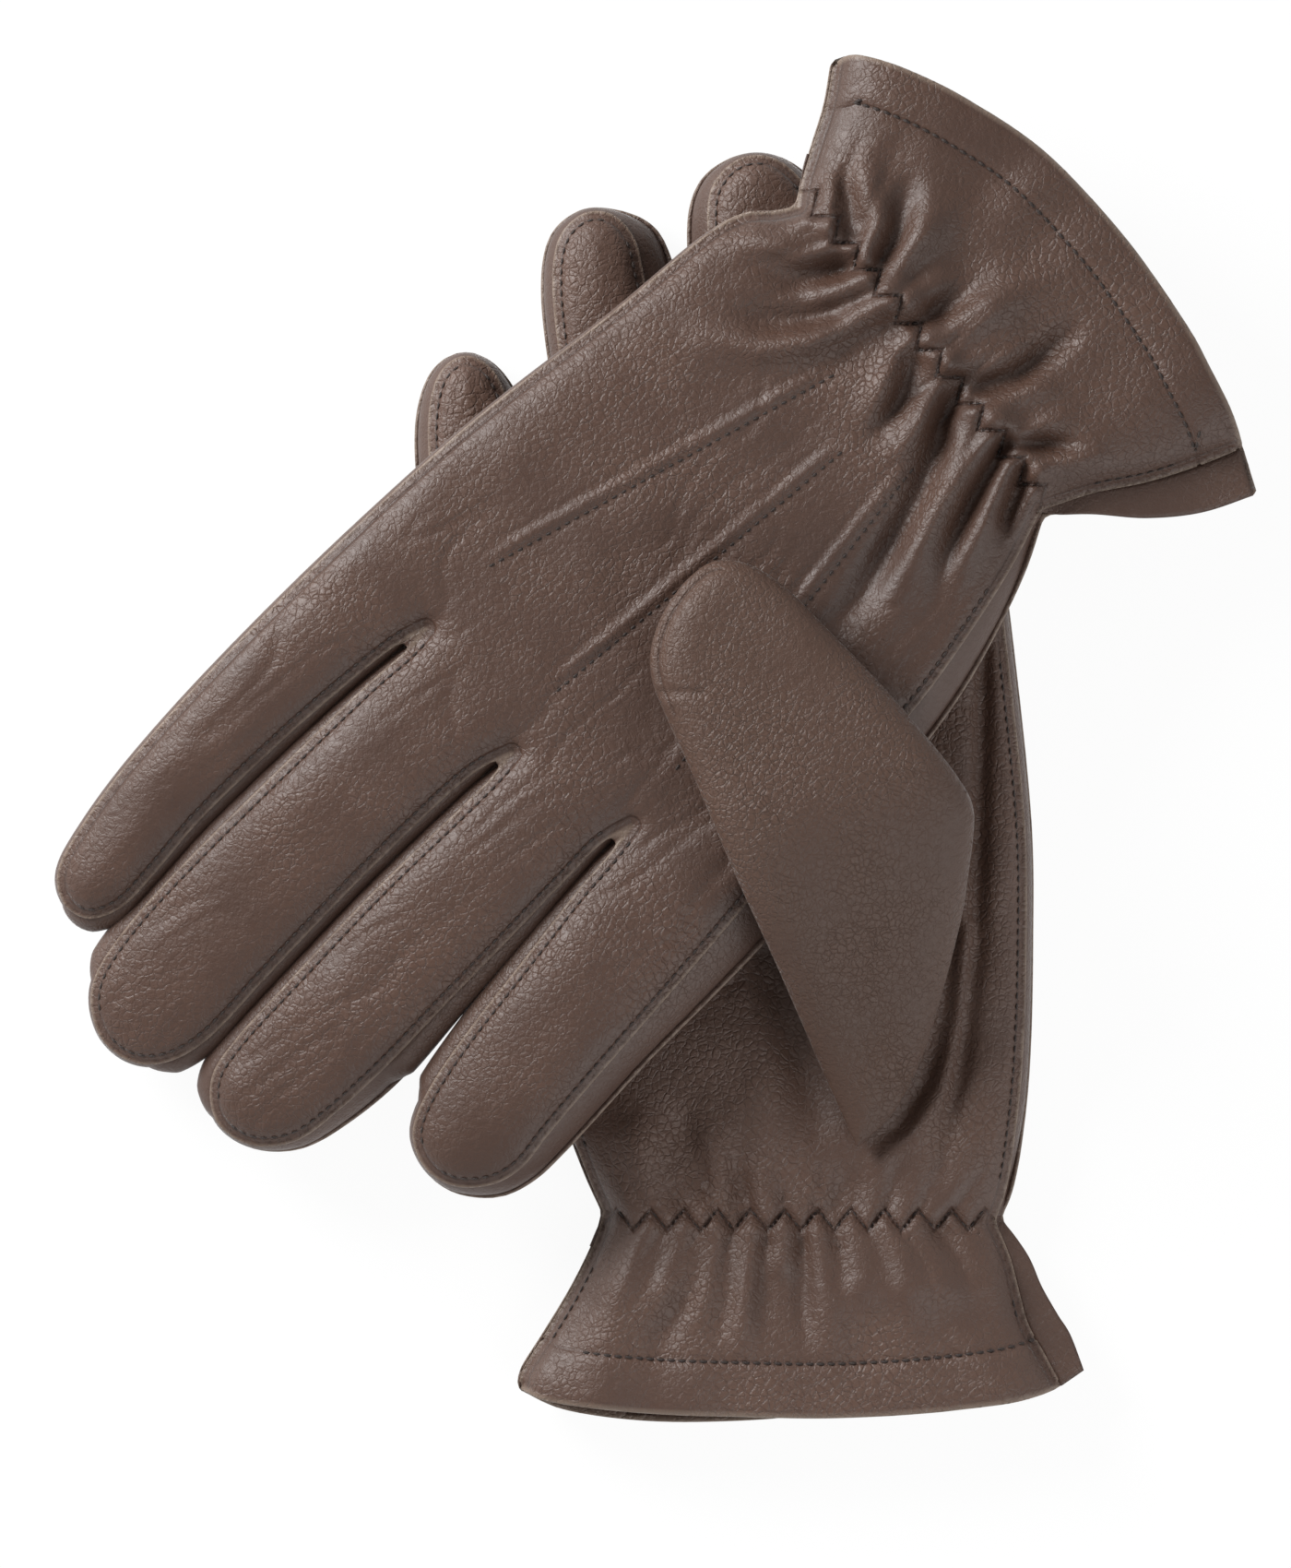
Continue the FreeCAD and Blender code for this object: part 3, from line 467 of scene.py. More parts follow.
# a plan outline as a slab of small even faces
def slabFromLoop(name, loop, voxel):
    verts = [(x * mm, y * mm, 0) for x, y in loop[:, :2]]
    piece = newPiece(name, verts, [list(range(len(verts)))])
    inEditMode(bpy.ops.mesh.extrude_region_move, TRANSFORM_OT_translate={"value": (0, 0, hand["slab"] * mm)})
    inEditMode(bpy.ops.mesh.normals_make_consistent, inside=False)
    applyModifier(piece, "REMESH", {"mode": "VOXEL", "voxel_size": voxel * mm})
    return piece


def meshPoints(piece):
    co = np.empty(len(piece.data.vertices) * 3, np.float32)
    piece.data.vertices.foreach_get("co", co)
    return co.reshape(-1, 3).astype(float)


def setPoints(piece, co):
    piece.data.vertices.foreach_set("co", co.astype(np.float32).ravel())
    piece.data.update()
    piece.data.shade_smooth()


# x, y and the depth in the slab, from 0 on the layer's outer side to 1 on its inner side
def slabPlaces(piece, layer):
    co = meshPoints(piece)
    depth = np.clip(1 - co[:, 2] / (hand["slab"] * mm), 0, 1)
    return co[:, 0] / mm, co[:, 1] / mm, depth if layer > 0 else 1 - depth


# values that the leather reads: distances from the seam and hem, and the place on the pattern
def setValues(piece, **labels):
    for label, values in labels.items():
        layer = piece.data.attributes.new(label, "FLOAT", "POINT")
        layer.data.foreach_set("value", np.broadcast_to(values, len(piece.data.vertices)).astype(np.float32))


# one leather layer of a glove: a curved sheet with its real thickness and an open hem
def gloveSheet(name, side, layer, loop, voxel):
    piece = slabFromLoop(name, loop, voxel)
    x, y, depth = slabPlaces(piece, layer)
    outer, d, hem = skinAt(side, layer, loop, x, y)
    thickness = np.clip(layer * outer - hand["layerGap"], hand["thinnest"], hand["leather"])
    z = outer - layer * depth * thickness
    if side == "right" and layer < 0:
        z = np.maximum(z, -gloveAt["right"]["z"] / mm)  # the right back lies flat on the table
    setPoints(piece, toRow(side, x, y, z + middleLine(side, y)))
    setValues(piece, edge=d, hem=hem - hemFold["depth"][side], rim=hem, patternX=x, patternY=y)
    print("sheet", name, len(piece.data.vertices))
    return piece


wall = {
    "rows": 9, "thickness": 0.6, "farAway": 30, "reach": 9, "facing": -0.3, "ahead": 0.5, "ease": 5,
    "puffMore": 1.25, "puffLeast": 1.1, "puffMost": 3.4, "puffPower": 0.7, "openFrom": -6, "openUnder": 1.2,
    "up": 0.1, "cuffRise": 0.4, "tuck": 1.0, "cuffTuckUp": 0.8, "cuffTuckDown": 1.1,
}


# half the gap to the next finger at each outline point, and 0 where nothing is near
def roomBeside(loop):
    place, out = loop[:, :2], outwardNormals(loop)
    step = place[None, :, :] - place[:, None, :]
    span = np.linalg.norm(step, axis=2)
    ahead = np.einsum("ijk,ik->ij", step, out)
    facing = (out @ out.T < wall["facing"]) & (ahead > wall["ahead"] * span) & (span < wall["reach"])
    nearest = np.where(facing, span, np.inf).min(axis=1)
    return np.where(nearest < wall["reach"], nearest / 2, 0)


# the narrow leather walls between the layers, all round but for the hem
def gussetWall(name, side, upper, lower):
    rows, ease = wall["rows"], wall["ease"]
    room = roomBeside(upper)
    window = np.ones(2 * ease + 1) / (2 * ease + 1)
    room = np.convolve(np.concatenate([room[-ease:], room, room[:ease]]), window, "valid")
    puff = np.clip(room + wall["puffMore"], wall["puffLeast"], wall["puffMost"])
    apart = np.linalg.norm(lower[:, :2] - upper[:, :2], axis=1)
    keep = ~hemRows(upper) & ((upper[:, 1] > wall["openFrom"]) | (apart > wall["openUnder"]))
    seamY = upper[:, 1]
    seamIn, cuffPart = smoothStep(seamY, *zone["seam"]), 1 - smoothStep(seamY, *zone["wallCuff"])
    up = hand["seamUp"] * seamIn + wall["up"]
    down = hand["seamDown"] * seamIn + wall["up"] - wall["cuffRise"] * cuffPart
    inUpper = offsetLoop(upper, -wall["tuck"] + wall["cuffTuckUp"] * cuffPart)
    inLower = offsetLoop(lower, -wall["tuck"] + wall["cuffTuckDown"] * cuffPart)
    verts, faces = [], []
    count = len(upper)
    for r in range(rows):
        t = r / (rows - 1)
        ring = inUpper * (1 - t) + inLower * t
        swell = math.sin(math.pi * t) ** wall["puffPower"]
        ring = offsetLoop(ring, puff * swell * smoothStep(seamY, *zone["wallPuff"]))
        z = up * (1 - t) - down * t + middleLine(side, ring[:, 1])
        verts.extend(toRow(side, ring[:, 0], ring[:, 1], z).tolist())
    for r in range(rows - 1):
        for k in range(count):
            n = (k + 1) % count
            if keep[k] and keep[n]:
                faces.append((r * count + k, r * count + n, (r + 1) * count + n, (r + 1) * count + k))
    piece = newPiece(name, verts, faces)
    inEditMode(bpy.ops.mesh.delete_loose, bpy.ops.mesh.flip_normals)
    applyModifier(piece, "SOLIDIFY", {"thickness": wall["thickness"] * mm, "offset": -1})
    piece.data.shade_smooth()
    setValues(piece, edge=wall["farAway"], hem=wall["farAway"], rim=wall["farAway"], patternY=wall["farAway"])
    return piece


stitch = {
    "pitch": 2.15, "length": 1.5, "radius": 0.25, "lift": 0.16, "sides": 6, "rings": 5,
    "shortest": 0.001, "longest": 8, "swellFrom": 0.12, "swellSpan": 0.76, "swellPower": 0.6, "endDip": 0.3,
    "hemLift": 0.3, "hemRadius": 0.3,
}


# short rounded stitches along a path of row points, laid on the leather and no lower than the table
def beads(name, path, lift, radius=stitch["radius"]):
    verts, faces = [], []
    s, n, rings = stitch, stitch["sides"], stitch["rings"]
    for k in range(len(path) - 1):
        a, b = Vector(path[k]), Vector(path[k + 1])
        along = b - a
        if along.length < s["shortest"] * mm or along.length > s["longest"] * mm:
            continue
        centre = (a + b) / 2
        along = along * min(1.0, s["length"] * mm / along.length)
        sideways = along.cross(Vector((0, 0, 1))).normalized()
        up = sideways.cross(along).normalized()
        first = len(verts)
        for r in range(rings):
            t = r / (rings - 1)
            swell = math.sin(math.pi * (s["swellFrom"] + s["swellSpan"] * t)) ** s["swellPower"]
            dip = -s["endDip"] * (2 * t - 1) ** 2
            middle = centre + along * (t - 0.5) + up * (lift + dip) * mm
            for q in range(n):
                angle = 2 * math.pi * q / n
                offset = sideways * math.cos(angle) + up * math.sin(angle)
                verts.append(middle + offset * radius * mm * swell)
        for r in range(rings - 1):
            for q in range(n):
                faces.append((first + r * n + q, first + r * n + (q + 1) % n,
                              first + (r + 1) * n + (q + 1) % n, first + (r + 1) * n + q))
        faces.append([first + q for q in range(n)][::-1])
        faces.append([first + (rings - 1) * n + q for q in range(n)])
        sunk = min(0.0, min(v.z for v in verts[first:]))
        for v in verts[first:]:
            v.z -= sunk
    piece = newPiece(name, verts, faces)
    piece.data.shade_smooth()
    inEditMode(bpy.ops.mesh.normals_make_consistent, inside=False)
    return piece


# points at an even pitch along a line of x, y rows
def spaced(line, pitch):
    steps = np.linalg.norm(np.diff(line[:, :2], axis=0), axis=1)
    run = np.concatenate([[0], np.cumsum(steps)])
    at = np.arange(0, run[-1], pitch)
    return np.stack([np.interp(at, run, line[:, 0]), np.interp(at, run, line[:, 1])], 1)


def onLayer(side, layer, line, loop):
    x, y = line[:, 0], line[:, 1]
    return toRow(side, x, y, skinAt(side, layer, loop, x, y)[0] + middleLine(side, y))


def stitchRow(name, side, layer, line, loop, lift=stitch["lift"], radius=stitch["radius"]):
    path = onLayer(side, layer, spaced(line, stitch["pitch"]), loop)
    return beads(name, path, lift * layer, radius)


def zigzagRow(name, side, layer, loop):
    leg = gather["pitch"] / 2
    count = int(gather["rowReach"][side] / leg)
    corners = np.arange(-count, count + 0.5, 0.5) * leg
    path = onLayer(side, layer, np.stack([corners, zigzagY(corners)], 1), loop)
    return beads(name, path, gather["rowLift"] * layer)


def joinPieces(name, parts):
    selectOnly(parts)
    bpy.ops.object.join()
    parts[0].name = name
    parts[0].data.name = name
    return parts[0]


# numbers or sockets in, one socket out
def calcIn(tree):
    def calc(operation, a, b=None, clamp=False):
        node = tree.nodes.new("ShaderNodeMath")
        node.operation = operation
        node.use_clamp = clamp
        for socket, value in zip(node.inputs, (a, b)):
            if isinstance(value, (int, float)):
                socket.default_value = value
            elif value is not None:
                tree.links.new(value, socket)
        return node.outputs[0]
    return calc


def noiseIn(tree, place, scale, detail, roughness=0.5):
    node = tree.nodes.new("ShaderNodeTexNoise")
    for label, value in (("Scale", scale), ("Detail", detail), ("Roughness", roughness)):
        node.inputs[label].default_value = value
    tree.links.new(place, node.inputs["Vector"])
    return node


# scales are per metre, and warp and bumpDepth are in metres
grainLook = {
    "warpScale": 420, "warp": 0.0019, "patchScale": 42, "unevenScale": 640, "unevenRough": 0.6,
    "poreScale": 2600, "patchFrom": 0.34, "patchGain": 3.2,
    "creaseLeast": 0.22, "creaseSharp": 3.6, "creasePower": 2.0, "creaseUneven": 1.8, "creaseDepth": 0.42,
    "unevenDepth": 0.95, "poreDepth": 0.22,
    "patchTone": 0.85, "toneLeast": 0.14, "creaseShadeTone": 0.14, "glossLeast": 0.39, "glossUneven": 0.22,
    "bump": 0.8, "bumpDepth": 0.0003, "darkUpTo": 0.2, "lightFrom": 0.75, "ior": 1.48, "sheenRough": 0.25,
}


# pebbled leather: a height, a mask from dark to light with painted shade in the pebbles' creases, and a
# roughness
def makeGrainGroup():
    g = grainLook
    group = bpy.data.node_groups.new("leatherGrain", "ShaderNodeTree")
    for label in ("Pebble Size", "Strength"):
        group.interface.new_socket(label, in_out="INPUT", socket_type="NodeSocketFloat")
    for label in ("Height", "Tone", "Gloss"):
        group.interface.new_socket(label, in_out="OUTPUT", socket_type="NodeSocketFloat")
    nodes, links, calc = group.nodes, group.links, calcIn(group)
    given, out = nodes.new("NodeGroupInput"), nodes.new("NodeGroupOutput")
    place = nodes.new("ShaderNodeTexCoord").outputs["Object"]
    warp = noiseIn(group, place, g["warpScale"], 3)
    bend = nodes.new("ShaderNodeVectorMath")
    bend.operation = "MULTIPLY_ADD"
    links.new(warp.outputs["Color"], bend.inputs[0])
    bend.inputs[1].default_value = (g["warp"],) * 3
    links.new(place, bend.inputs[2])
    cells = nodes.new("ShaderNodeTexVoronoi")
    cells.feature = "DISTANCE_TO_EDGE"
    links.new(bend.outputs[0], cells.inputs["Vector"])
    links.new(given.outputs["Pebble Size"], cells.inputs["Scale"])
    patches = noiseIn(group, place, g["patchScale"], 3).outputs["Fac"]
    uneven = noiseIn(group, bend.outputs[0], g["unevenScale"], 3, g["unevenRough"]).outputs["Fac"]
    pores = noiseIn(group, place, g["poreScale"], 2).outputs["Fac"]
    where = calc("MULTIPLY", calc("SUBTRACT", patches, g["patchFrom"]), g["patchGain"], True)
    where = calc("ADD", where, g["creaseLeast"])
    creases = calc("SUBTRACT", 1.0, calc("MULTIPLY", cells.outputs["Distance"], g["creaseSharp"]), True)
    creases = calc("MULTIPLY", calc("POWER", creases, g["creasePower"]), where)
    creases = calc("MULTIPLY", creases, calc("MULTIPLY", uneven, g["creaseUneven"]))
    body = calc("MULTIPLY", uneven, g["unevenDepth"])
    body = calc("SUBTRACT", body, calc("MULTIPLY", creases, g["creaseDepth"]))
    body = calc("ADD", body, calc("MULTIPLY", pores, g["poreDepth"]))
    tone = calc("ADD", calc("MULTIPLY", patches, g["patchTone"]), g["toneLeast"])
    # painted shade: the tone is darker along the pebbles' creases
    tone = calc("SUBTRACT", tone, calc("MULTIPLY", creases, g["creaseShadeTone"]), True)
    gloss = calc("ADD", g["glossLeast"], calc("MULTIPLY", uneven, g["glossUneven"]), True)
    links.new(calc("MULTIPLY", body, given.outputs["Strength"]), out.inputs["Height"])
    links.new(tone, out.inputs["Tone"])
    links.new(gloss, out.inputs["Gloss"])
    return group


grainGroup = makeGrainGroup()


def newMaterial(name):
    material = bpy.data.materials.new(name)
    material.use_nodes = True
    return material, material.node_tree, material.node_tree.nodes["Principled BSDF"]


def colourRamp(tree, mask, dark, light, darkUpTo, lightFrom):
    ramp = tree.nodes.new("ShaderNodeValToRGB")
    for element, position, colour in zip(ramp.color_ramp.elements, (darkUpTo, lightFrom), (dark, light)):
        element.position = position
        element.color = (*colour, 1)
    tree.links.new(mask, ramp.inputs["Fac"])
    return ramp.outputs["Color"]


def mixColour(tree, blend, share, colour, mixed):
    node = tree.nodes.new("ShaderNodeMix")
    node.data_type = "RGBA"
    node.blend_type = blend
    node.inputs["B"].default_value = mixed
    tree.links.new(share, node.inputs["Factor"])
    tree.links.new(colour, node.inputs["A"])
    return node.outputs["Result"]


def addBump(tree, shader, height, strength, depth):
    bump = tree.nodes.new("ShaderNodeBump")
    bump.inputs["Strength"].default_value = strength
    bump.inputs["Distance"].default_value = depth
    tree.links.new(height, bump.inputs["Height"])
    tree.links.new(bump.outputs["Normal"], shader.inputs["Normal"])


# the stitch rows' widths and press, their painted shade, and the painted rim light along the cut edges and
# the hem
seamLook = {
    "zigzagHalf": 0.8, "hemHalf": 0.5, "hemShare": 0.35, "edgeHalf": 0.4, "edgeShare": 0.7, "press": 1.2,
    "shade": (0.6, 0.54, 0.52, 1), "cut": (0.23, 0.175, 0.135, 1),
    "cutShare": 0.75, "cutEdge": 0.75, "cutHem": 1.3,
}


# leather pressed in along its stitches with painted shade there, and paler on its cut edges and hem with
# painted rim light
def sewn(tree, colour, height):
    look, calc = seamLook, calcIn(tree)

    def value(label):
        node = tree.nodes.new("ShaderNodeAttribute")
        node.attribute_name = label
        return node.outputs["Fac"]

    def line(distance, width):
        return calc("SUBTRACT", 1.0, calc("DIVIDE", calc("ABSOLUTE", distance), width), True)

    tooth = calc("FRACT", calc("DIVIDE", value("patternX"), gather["pitch"]))
    tooth = calc("MULTIPLY", calc("ABSOLUTE", calc("SUBTRACT", tooth, 0.5)), 4.0)
    row = calc("MULTIPLY", calc("SUBTRACT", 1.0, tooth), gather["rowHalf"])
    zigzag = line(calc("SUBTRACT", value("patternY"), row), look["zigzagHalf"])
    hemRow = calc("MULTIPLY", line(value("hem"), look["hemHalf"]), look["hemShare"])
    edgeRow = line(calc("SUBTRACT", value("edge"), hand["stitchIn"]), look["edgeHalf"])
    rows = calc("MAXIMUM", calc("MULTIPLY", edgeRow, look["edgeShare"]), hemRow)
    rows = calc("MAXIMUM", rows, zigzag)
    height = calc("SUBTRACT", height, calc("MULTIPLY", rows, look["press"]))
    # painted shade: the leather is darker in the pressed-in grooves of the stitch rows and the zigzag
    colour = mixColour(tree, "MULTIPLY", rows, colour, look["shade"])
    # painted rim light: a paler colour along the cut edges and the hem edge, standing partly for the cut
    # leather's own paler tone
    cut = calc("MAXIMUM", line(value("edge"), look["cutEdge"]), line(value("rim"), look["cutHem"]))
    colour = mixColour(tree, "MIX", calc("MULTIPLY", cut, look["cutShare"]), colour, look["cut"])
    return colour, height


def leather(name, dark, light, pebble, strength, seams=True, specular=0.5, sheen=0.22):
    material, tree, shader = newMaterial(name)
    shader.inputs["IOR"].default_value = grainLook["ior"]
    shader.inputs["Specular IOR Level"].default_value = specular
    shader.inputs["Sheen Weight"].default_value = sheen
    shader.inputs["Sheen Roughness"].default_value = grainLook["sheenRough"]
    grain = tree.nodes.new("ShaderNodeGroup")
    grain.node_tree = grainGroup
    grain.inputs["Pebble Size"].default_value = pebble
    grain.inputs["Strength"].default_value = strength
    tone, height = grain.outputs["Tone"], grain.outputs["Height"]
    colour = colourRamp(tree, tone, dark, light, grainLook["darkUpTo"], grainLook["lightFrom"])
    if seams:
        colour, height = sewn(tree, colour, height)
    tree.links.new(colour, shader.inputs["Base Color"])
    tree.links.new(grain.outputs["Gloss"], shader.inputs["Roughness"])
    addBump(tree, shader, height, grainLook["bump"], grainLook["bumpDepth"])
    return material


clothLook = {"detail": 4, "darkUpTo": 0.35, "lightFrom": 0.7, "bump": 0.6, "bumpDepth": 0.0003}


def cloth(name, dark, light, scale, roughness, sheen=0.3):
    material, tree, shader = newMaterial(name)
    shader.inputs["Roughness"].default_value = roughness
    shader.inputs["Sheen Weight"].default_value = sheen
    place = tree.nodes.new("ShaderNodeTexCoord").outputs["Object"]
    fibres = noiseIn(tree, place, scale, clothLook["detail"]).outputs["Fac"]
    colour = colourRamp(tree, fibres, dark, light, clothLook["darkUpTo"], clothLook["lightFrom"])
    tree.links.new(colour, shader.inputs["Base Color"])
    addBump(tree, shader, fibres, clothLook["bump"], clothLook["bumpDepth"])
    return material


looks = {
    "back": leather("backLeather", dark=(0.036, 0.0165, 0.0104), light=(0.073, 0.037, 0.0242),
                    pebble=660, strength=1.2),
    # painted light: the palm leather is lighter than the back to offset the shade that the left glove casts
    # on the right palm
    "palm": leather("palmLeatherLightened", dark=(0.047, 0.023, 0.0155), light=(0.089, 0.0475, 0.0325),
                    pebble=660, strength=1.3),
    # the fourchette leather is lighter than the back: its own colour, and partly painted rim light along the
    # silhouettes
    "gusset": leather("gussetLeatherRimLit", dark=(0.046, 0.0235, 0.0165), light=(0.08, 0.044, 0.031),
                      pebble=760, strength=0.8, seams=False),
    "thumb": leather("thumbLeather", dark=(0.0515, 0.0268, 0.0182), light=(0.0785, 0.0432, 0.0297),
                     pebble=760, strength=1.8, specular=0.38, sheen=0.13),
    "thread": cloth("sewingThread", dark=(0.014, 0.0075, 0.0055), light=(0.028, 0.016, 0.012),
                    scale=3000, roughness=0.7, sheen=0.05),
    "lining": cloth("brushedLining", dark=(0.03, 0.022, 0.02), light=(0.07, 0.052, 0.045),
                    scale=900, roughness=0.95),
    "elastic": cloth("wovenElastic", dark=(0.02, 0.016, 0.015), light=(0.05, 0.04, 0.036),
                     scale=1600, roughness=0.8),
}


def dress(piece, look, body, slot, *nodes):
    piece.data.materials.clear()
    piece.data.materials.append(looks[look])
    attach(piece, body)
    if nodes:
        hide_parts(*nodes)


# where the seams on a glove's upper face start and stop
sewing = {
    "tips": [(20.5, 205), (-4, 215.5), (-33, 207.5), (-66, 179.8)],
    "crotches": [(19.1, 112.5), (-10.8, 114), (-37, 104)],
    "sideEnd": {"left": (-44, 14), "right": (-43.4, 10)},
    "more": {"left": [((-42.5, -6), (-57.4, -25.5))],
             "right": [((-42.5, -6), (-57.4, -25.5)), ((51.5, -20), (45, -9.5)), ((41, 5), (39, 117))]},
    "trim": 3, "hemFrom": {"left": -49, "right": -45}, "hemTo": 51,
}


def nearestRow(loop, place):
    return int(np.argmin(np.hypot(loop[:, 0] - place[0], loop[:, 1] - place[1])))


# stitches along the sewn edge, from each fingertip to the next crotch and on
def seamStitches(side, upper):
    tips, crotches = sewing["tips"], sewing["crotches"]
    stops = [tips[0]]
    for crotch, tip in zip(crotches, tips[1:]):
        stops += [crotch, tip]
    stops.append(sewing["sideEnd"][side])
    seam = offsetLoop(upper, -hand["stitchIn"])
    rows = []
    for k, (start, stop) in enumerate(list(zip(stops, stops[1:])) + sewing["more"][side]):
        a, b = nearestRow(upper, start), nearestRow(upper, stop)
        run = np.arange(a, b if b > a else b + len(upper)) % len(upper)
        line = seam[run[sewing["trim"]:-sewing["trim"]]]
        rows.append(stitchRow("%s_seam_%d" % (side, k), side, 1, line, upper))
    return joinPieces(side + "_seam_stitches", rows)


def hemStitches(side, upper, lower):
    inset = offsetLoop(upper, -hemFold["depth"][side])
    onHem = hemRows(upper)
    line = inset[onHem][np.argsort(upper[onHem, 0])]
    line = line[(line[:, 0] > sewing["hemFrom"][side]) & (line[:, 0] < sewing["hemTo"])]
    lift, radius = stitch["hemLift"], stitch["hemRadius"]
    return joinPieces(side + "_hem_stitches", [
        stitchRow(side + "_hem_upper", side, 1, line, upper, lift, radius),
        stitchRow(side + "_hem_lower", side, -1, line, lower, lift, radius)])


def pointStitches(side, layer, loop):
    rows = []
    for start, end in raisedPoints:
        line = np.linspace(start, end, raised["steps"])
        beside = np.array([end[1] - start[1], start[0] - end[0]])
        beside = beside / np.linalg.norm(beside) * raised["stitchBeside"]
        rows.append(stitchRow("row", side, layer, line + beside, loop, raised["stitchLift"]))
    return joinPieces(side + "_point_stitches", rows)


# the left glove lies back up and the right one palm up
def makeHand(side):
    topLook, underLook = ("back", "palm") if side == "left" else ("palm", "back")
    body = side + "_glove"
    upper = smoothLoop(backOutline if side == "left" else palmOutline)
    lower = lowerLoop(upper)
    top = gloveSheet(side + "_" + topLook, side, 1, upper, hand["voxelTop"])
    under = gloveSheet(side + "_" + underLook, side, -1, lower, hand["voxelUnder"])
    walls = gussetWall(side + "_fourchettes", side, upper, lower)
    dress(top, topLook, body, topLook + "_leather", side + "_" + topLook + "_panel")
    dress(under, underLook, body, underLook + "_leather", side + "_" + underLook + "_panel")
    gaps = [side + "_fourchette_" + g for g in ("index_middle", "middle_ring", "ring_little")]
    dress(walls, "gusset", body, "fourchette_leather", *gaps)
    dress(seamStitches(side, upper), "thread", body, "thread")
    dress(hemStitches(side, upper, lower), "thread", body, "thread", side + "_hem_stitching")
    zigzag = joinPieces(side + "_zigzag_stitches", [
        zigzagRow(side + "_zig_upper", side, 1, upper), zigzagRow(side + "_zig_lower", side, -1, lower)])
    dress(zigzag, "thread", body, "thread", side + "_zigzag_stitching")
    backLayer = (1, upper) if side == "left" else (-1, lower)
    dress(pointStitches(side, *backLayer), "thread", body, "thread")
    print("glove", side, "done")
    return upper, lower


loops = {side: makeHand(side) for side in ("right", "left")}

thumb = {
    "rootX": 12.2, "rootY": 13.9, "turn": math.radians(14.5), "voxel": 0.7,
    "round": 9.0, "flat": 0.16, "domeIn": 2.4,
    "halves": [(0, 2.2), (15, 4.2), (45, 6.3), (125, 6.3)], "rootUp": 3.6, "tipDown": 6.7, "climb": (2, 77),
    "roll": 0.11, "rollAt": 12, "rollIn": (12, 40), "rollOut": (44, 84), "tuckedLess": 0.2,
    "inside": (0.5, 6), "crown": 0.8, "crownAlong": (62, 26), "crownAcross": (12, 16),
    "crease": [(99.5, -16.4), (97.2, -8)], "creaseDepth": 0.55, "creaseHalf": 0.8,
    "uneven": 0.35, "unevenCell": 17, "unevenSeed": 31,
    "seamDepth": 1.1, "seamIn": 1.7, "seamHalf": 0.7, "seamAlong": (96, 104), "seamAcross": (-2, 4),
    "cutAlong": 94, "cutAcross": 2, "cutLeast": 1.0, "farEdge": 30, "farSeams": 40,
    "outline": [  # along the thumb, across it, and 1 at the sharp root
        (1, -0.8, 1), (15, -3.2, 0), (40, -7.2, 0), (60, -10.8, 0), (80, -13.8, 0), (96, -16.6, 0),
        (103, -17.2, 0), (109, -15.6, 0), (115, -11.4, 0), (120, -5.2, 0), (122, 1, 0), (119.5, 7.4, 0),
        (113.2, 13.2, 0), (103, 19.2, 0), (90, 26.6, 0), (75.4, 33.8, 0), (67.5, 37.1, 0), (62.5, 38.3, 0),
        (57.5, 37.4, 0), (49, 34.2, 0), (40, 30.4, 0), (27, 23.4, 0), (14.9, 16, 0), (6, 8, 0),
    ],
}


def thumbToPattern(along, across):
    c, s = math.cos(thumb["turn"]), math.sin(thumb["turn"])
    return thumb["rootX"] - along * s + across * c, thumb["rootY"] + along * c + across * s


# the seam at the folded thumb's tip, a crease under it and a crown over its middle
def foldedForm(along, across, d):
    t = thumb
    soft = smoothStep(d, *t["inside"])
    (alongAt, alongHalf), (acrossAt, acrossHalf) = t["crownAlong"], t["crownAcross"]
    z = soft * t["crown"] * bell(along - alongAt, alongHalf) * bell(across - acrossAt, acrossHalf)
    away = segmentDistance(along, across, *t["crease"])[0]
    z -= t["creaseDepth"] * bell(away, t["creaseHalf"])
    z += soft * t["uneven"] * noiseField(across, along, t["unevenCell"], t["unevenSeed"])
    atTip = smoothStep(along, *t["seamAlong"]) * (1 - smoothStep(across, *t["seamAcross"]))
    return z - t["seamDepth"] * bell(d - t["seamIn"], t["seamHalf"]) * atTip


